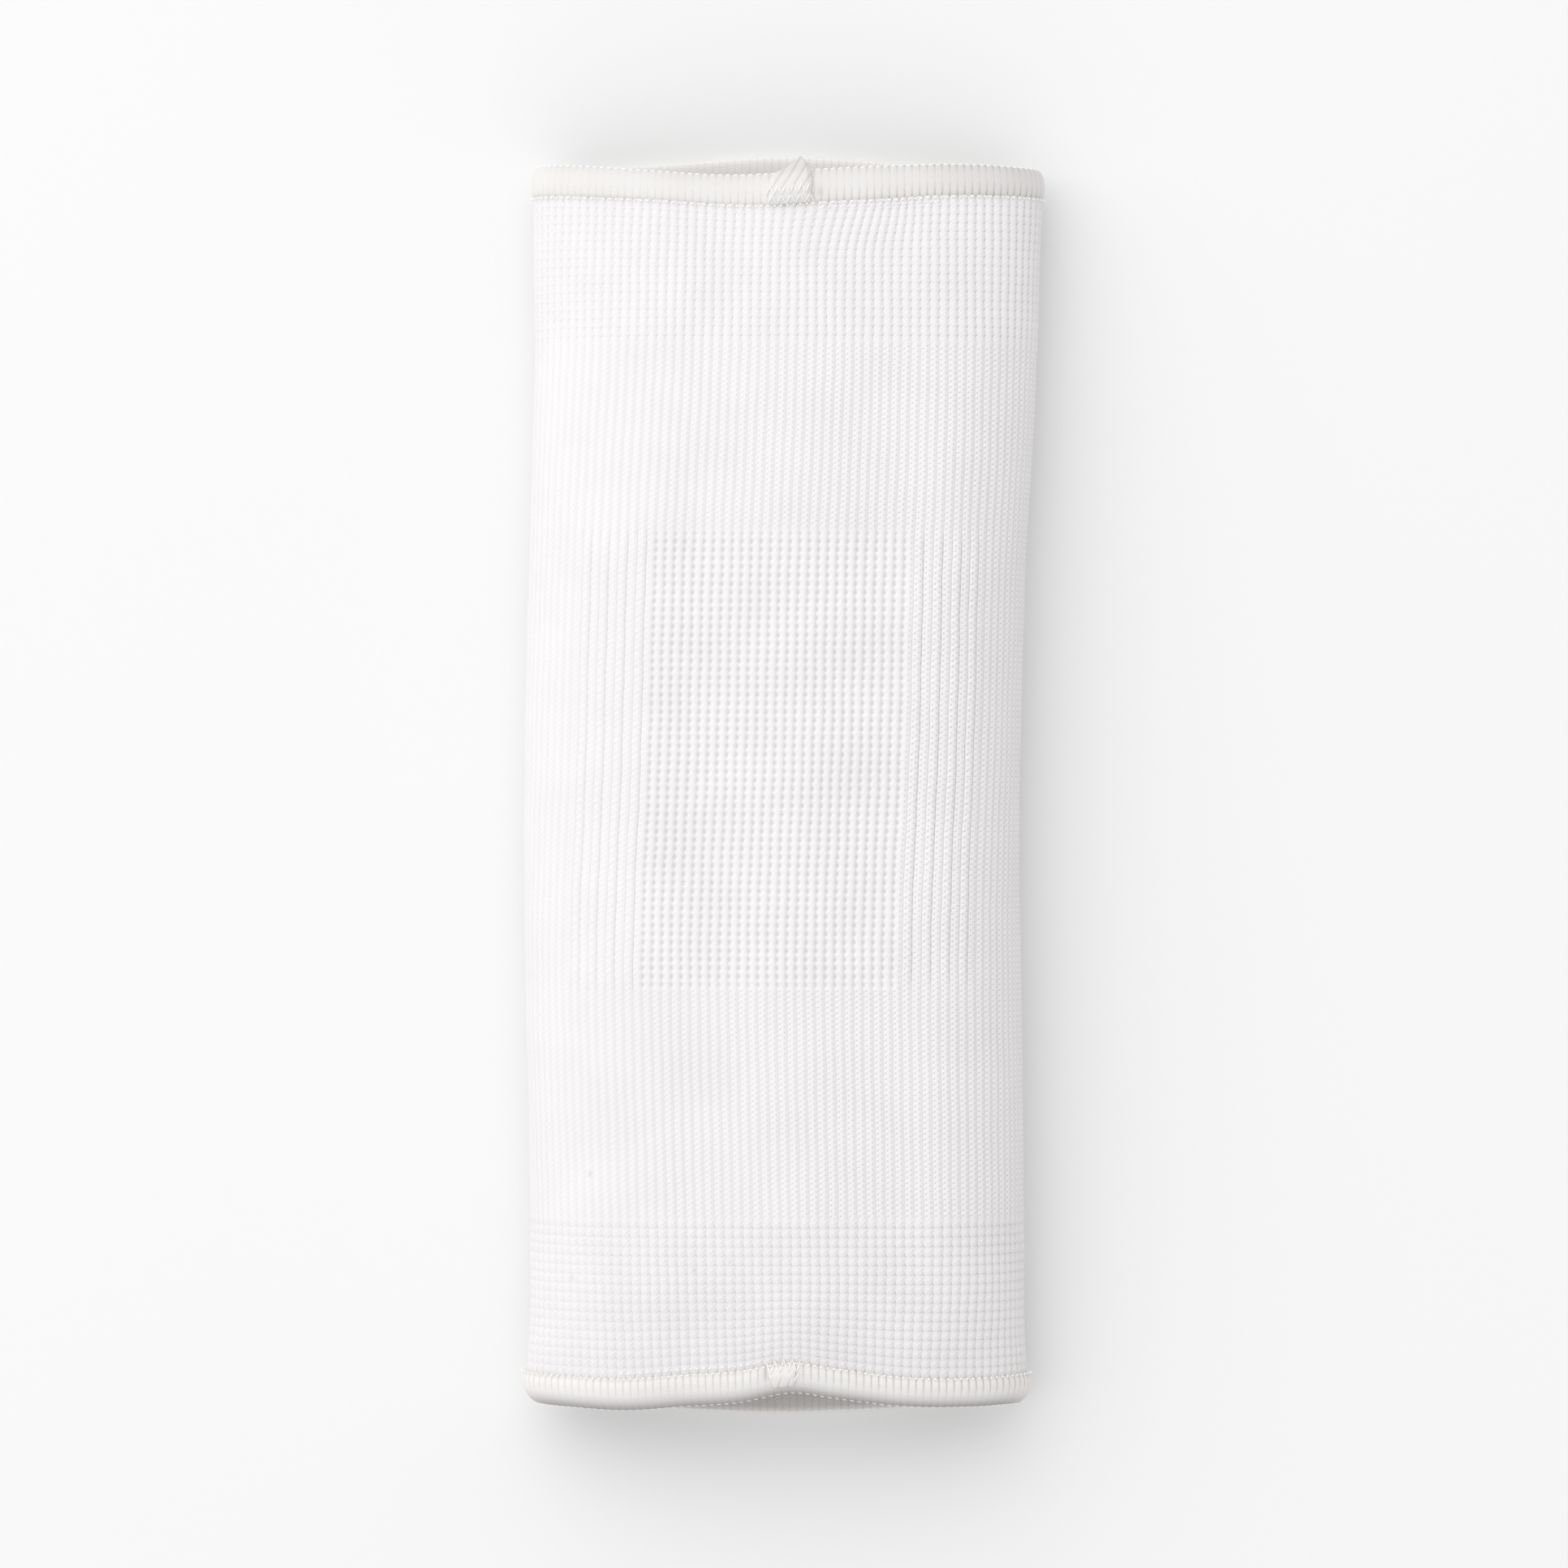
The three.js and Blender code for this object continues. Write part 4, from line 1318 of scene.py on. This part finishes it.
@dataclass
class BandJoin:
    """Where a band's end lies over its start: a flap with slanting pleats, sewn down by a zigzag.

    Attributes:
        band: The band that it belongs to.
        width: Width of the flap.
        shift: Its middle, to the right of the middle column of stitches.
        lift: Height of the flap over the band.
        thickness: Thickness of the flap.
        pleats: Pleats across the flap.
        slant: How far the pleats lean to the right over the band's height, as a share of the width.
        rows: The flap's outline: height, thickness share, left and right edge as shares of the width.
        zigzags: For each thread its two heights as shares of the band's, its left and right end, its teeth.
        cut_area: Area of the slanted end in square millimetres. Not used.
        cut_side: Side of the square of elastic that it is cut from. Not used.
        pleat_depth: Depth of the folds between pleats.
        thread: Radius of the sewing thread.
    """

    band: HemBand
    width: float
    shift: float
    lift: float
    thickness: float
    pleats: float
    slant: float
    rows: tuple[tuple[float, ...], ...]
    zigzags: tuple[tuple[float, float, float, float, int], ...]
    cut_area: float
    cut_side: float = 10.5
    pleat_depth: float = 0.2
    thread: float = 0.13

    def _wales(self, share: np.ndarray) -> np.ndarray:
        """Wales of a share of the flap's width from its middle."""
        return (self.shift + share * self.width) / self.band.form.girth * WALES_AROUND

    def _raised(self, up: np.ndarray) -> np.ndarray:
        """Height of the flap over the band. It is sewn flat at the seam and comes up towards the rim."""
        return self.lift * smoothstep(up, -0.1, 0.45)

    def flap(self) -> Surface:
        """The flap's outer face: its outline's rows joined smoothly, raised by the sine across each pleat."""
        up_rows = 32
        columns = 52
        up = np.linspace(self.rows[0][0], self.rows[-1][0], up_rows)[:, None]
        out = smooth_lookup(self.rows, 1, up)
        low, high = smooth_lookup(self.rows, 2, up), smooth_lookup(self.rows, 3, up)
        share = np.linspace(0, 1, columns)[None, :]
        place = mix(low, high, share)
        lean = place - self.slant * (up - 0.3)
        pleat = np.abs(np.sin(np.pi * self.pleats * lean))
        edge = smoothstep(0.5 - np.abs(share - 0.5), 0, 0.12)
        # The pleats open towards the rim. The seam presses them flat.
        open_share = smoothstep(up, 0.2, 0.6)
        height = self._raised(up) * (0.45 + 0.55 * edge) - self.pleat_depth * (1 - pleat**0.6) * edge * open_share
        points = self.band.place(self._wales(place), up, out, height + 0.1)
        # Painted shade in the folds between pleats.
        tone = np.clip((1 - pleat) ** 3 * 0.45 * open_share * np.ones_like(height), 0, 1)
        courses = np.broadcast_to(up * 12, height.shape)
        wales = self._wales(place) * np.ones_like(height)
        # Painted shade as on the band: half that of the right flank, and grey where the roll turns under.
        turned_under = smoothstep(up, 0.5, 1.05) * np.ones_like(height)
        stain_and_shade = self.band.flank_shade / 2 + self.band.painted_shades[0] * turned_under
        surface = Surface(points, wales, courses, tone, stain_and_shade)
        return surface.turned() if self.band.end is End.CALF else surface

    def stitching(self) -> list[np.ndarray]:
        """The zigzags: straight threads from tooth to tooth between two heights, bowed up between stitches.

        Below the seam a thread comes down to the knit, and beside the flap to the band.

        Returns:
            The points, the quads and the end faces of all the threads.
        """
        parts: list[list[np.ndarray]] = [[], [], []]
        made = 0
        steps = 6
        for low, high, start, stop, teeth in self.zigzags:
            count = teeth * 2 * steps + 1
            run = np.arange(count) / (2 * steps)
            tooth = 1 - 2 * np.abs(run - np.floor(run) - 0.5)
            up = mix(low, high, tooth)
            share = mix(start, stop, run / teeth)
            out = mix(1 - self.band.proud / self.band.thickness, 1.0, smoothstep(up, -0.1, 0.12))
            over = self._raised(up) * smoothstep(0.56 - np.abs(share), 0, 0.1)
            height = over + 0.18 + 0.08 * np.abs(np.sin(2 * np.pi * run))
            path = self.band.place(self._wales(share), up, out, height)
            above = self.band.place(self._wales(share), up, out, height + 1.0)
            points, quads, ends = strand(path, above - path, self.thread)
            for part, own in zip(parts, (points, quads + made, ends + made)):
                part.append(own)
            made += len(points)
        return [np.concatenate(part) for part in parts]

    def build(self, node: str, prefix: str) -> list[bpy.types.Object]:
        """Makes and dresses the flap and its zigzag.

        Args:
            node: The CAD node that the flap replaces.
            prefix: First word of the pieces' names.

        Returns:
            The pieces.
        """
        form = self.band.form
        flap = surface_piece(f"{prefix}_hem_flap", form, self.flap())
        flap.data.materials.append(ELASTIC_YARN.build())
        thick = flap.modifiers.new("flap_thickness", "SOLIDIFY")
        thick.thickness = self.thickness * MM
        thick.offset = -1
        points, quads, ends = self.stitching()
        stitch = np.zeros((quads.size + ends.size, 2))
        values = {"tone": np.zeros(len(points)), "stain_and_shade": np.zeros(len(points))}
        zigzag = make_piece(f"{prefix}_zigzag", form, points, [quads, ends], values, stitch)
        zigzag.data.materials.append(SEWING_THREAD.build())
        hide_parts(node)
        for piece in (flap, zigzag):
            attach(piece, "root")
            log.info("%s: %d faces", piece.name, len(piece.data.polygons))
        return [flap, zigzag]


@dataclass
class Studio:
    """A pale floor, soft light from the upper left, and a camera straight above, as in the photograph.

    Attributes:
        lens: Focal length in millimetres.
        sensor: Sensor width in millimetres.
        view_width: Width of what the image shows, at the height of the pad's middle.
        view_height: Height of that plane over the floor.
        world: Strength of the even light from all round.
        key: Power of the lamp in watts.
        key_size: Side of the lamp in metres.
        key_place: Where the lamp hangs, in metres. It points at the middle of the pad.
    """

    lens: float = 150.0
    sensor: float = 36.0
    view_width: float = 375.2
    view_height: float = 18.0
    world: float = 0.73
    key: float = 86.0
    key_size: float = 5.2
    key_place: tuple[float, float, float] = (-1.4, 1.35, 2.53)

    def floor(self) -> bpy.types.Object:
        """A large flat sheet of matt white card under the pad."""
        reach = 3000.0
        mesh = bpy.data.meshes.new("studio_floor")
        corners = np.array([[-1, -1], [1, -1], [1, 1], [-1, 1]]) * reach * MM
        mesh.from_pydata([(x, y, 0.0) for x, y in corners], [], [(0, 1, 2, 3)])
        floor = bpy.data.objects.new("studio_floor", mesh)
        bpy.context.scene.collection.objects.link(floor)
        material = bpy.data.materials.new("matt_white_card")
        material.use_nodes = True
        tree = material.node_tree
        tree.nodes.clear()
        place = add_node(tree, "TexCoord")
        grain = add_node(
            tree, "TexNoise", None, {"Vector": place.outputs["Object"], "Scale": 900.0, "Detail": 2.0}
        )
        shade = add_node(tree, "MapRange", None, {0: grain.outputs["Fac"], 1: 0.3, 2: 0.7, 3: 0.0, 4: 0.04})
        colour = add_node(
            tree,
            "Mix",
            {"data_type": "RGBA"},
            {0: shade.outputs[0], 6: linear("#EFEFEF"), 7: linear("#E5E5E5")},
        )
        shader = add_node(
            tree, "BsdfPrincipled", None, {"Base Color": colour.outputs[2], "Roughness": 0.95}
        )
        add_node(tree, "OutputMaterial", None, {0: shader.outputs[0]})
        mesh.materials.append(material)
        return floor

    def light(self) -> None:
        """Even light from all round, and one large soft lamp from the upper left."""
        world = bpy.data.worlds.new("soft_studio")
        bpy.context.scene.world = world
        world.use_nodes = True
        back = world.node_tree.nodes["Background"]
        back.inputs["Color"].default_value = linear("#FFFFFF")
        back.inputs["Strength"].default_value = self.world
        lamp = bpy.data.lights.new("soft_window", "AREA")
        lamp.shape = "RECTANGLE"
        lamp.size, lamp.size_y = self.key_size, self.key_size
        lamp.energy = self.key
        holder = bpy.data.objects.new("soft_window", lamp)
        place = np.array(self.key_place)
        holder.location = place
        distance = float(np.linalg.norm(place))
        holder.rotation_euler = (math.acos(place[2] / distance), 0, math.atan2(place[1], place[0]) + math.pi / 2)
        bpy.context.scene.collection.objects.link(holder)

    def camera(self) -> bpy.types.Object:
        """A long lens straight above, so far off that the view's width fits the plane of the pad's middle."""
        data = bpy.data.cameras.new("overhead")
        data.lens, data.sensor_width = self.lens, self.sensor
        camera = bpy.data.objects.new("overhead", data)
        distance = self.view_width * self.lens / self.sensor
        camera.location = (0.1 * MM, 0.1 * MM, (self.view_height + distance) * MM)
        bpy.context.scene.collection.objects.link(camera)
        bpy.context.scene.camera = camera
        return camera

    def build(self) -> None:
        """Sets up the floor, the light, the camera and a plain view of the colours."""
        self.camera()
        self.floor()
        self.light()
        bpy.context.scene.view_settings.view_transform = "Standard"
        log.info("studio: view %.1f mm wide in %d pixels", self.view_width, IMAGE_PIXELS)


def main() -> None:
    """Builds the pad's sub-assemblies in order, and logs the tube's girth and the CAD frame's offset."""
    logging.basicConfig(level=logging.INFO, format="%(message)s")
    Studio().build()
    form = TubeForm()
    log.info("girth %.1f mm, offset %s", form.girth, np.round(form.offset, 3))
    KnitTube(form).build()
    upper = HemBand(
        form,
        End.THIGH,
        height=7.4,
        thickness=2.4,
        proud=0.6,
        curl=0.5,
        rib_depth=0.16,
        fold_run=((0.0, 1.0, 0.9), (0.25, 0.6, 0.5), (0.5, 0.2, 0.15), (0.75, 0.35, 0.15), (1.0, 1.0, 0.8)),
        weakest_fold=0.25,
        painted_shades=(0.12, 0.68),
        flank_shade=0.22,
        second_row=(3.0, 16.0),
        taller=((-25.0, 9.0, 1.0), (17.0, 9.0, 0.4)),
    )
    lower = HemBand(
        form,
        End.CALF,
        height=7.4,
        thickness=3.2,
        proud=1.5,
        curl=2.6,
        rib_depth=0.16,
        fold_run=((0.0, 1.0, 0.8), (0.3, 0.7, 0.6), (0.55, 0.3, 0.2), (0.8, 0.15, 0.1), (1.0, 0.9, 0.9)),
        weakest_fold=0.5,
        painted_shades=(0.75, 0.85),
        flank_shade=0.05,
        second_row=(-17.0, -2.0),
        taller=((-16.0, 14.0, 0.8), (14.0, 10.0, 0.3)),
    )
    upper.build("upper_hem_band", "upper")
    lower.build("lower_hem_band", "lower")
    BandJoin(
        upper,
        width=10.0,
        shift=-0.5,
        lift=1.3,
        thickness=1.0,
        pleats=4.0,
        slant=0.5,
        rows=(
            (0.0, 0.7, -0.5, 0.52),
            (0.12, 0.95, -0.5, 0.53),
            (0.3, 1.0, -0.5, 0.54),
            (0.7, 1.0, -0.48, 0.55),
            (0.94, 0.8, -0.42, 0.52),
            (1.1, 0.8, -0.1, 0.46),
            (1.25, 0.8, 0.12, 0.38),
            (1.38, 0.8, 0.22, 0.3),
        ),
        zigzags=((0.28, 0.56, -0.55, 0.6, 6), (0.02, 0.24, -0.52, 0.62, 5)),
        cut_area=86.0,
        pleat_depth=0.14,
    ).build("upper_hem_overlap", "upper")
    BandJoin(
        lower,
        width=7.0,
        shift=2.2,
        lift=0.5,
        thickness=0.6,
        pleats=3.0,
        slant=-0.4,
        rows=((0.05, 0.82, -0.5, 0.5), (0.3, 1.0, -0.46, 0.46), (0.7, 1.0, -0.3, 0.4)),
        zigzags=((-0.1, 0.2, -0.55, 0.65, 4), (0.26, 0.52, 0.2, 0.58, 1)),
        cut_area=36.0,
        pleat_depth=0.07,
    ).build("lower_hem_overlap", "lower")


if __name__ == "__main__":
    main()
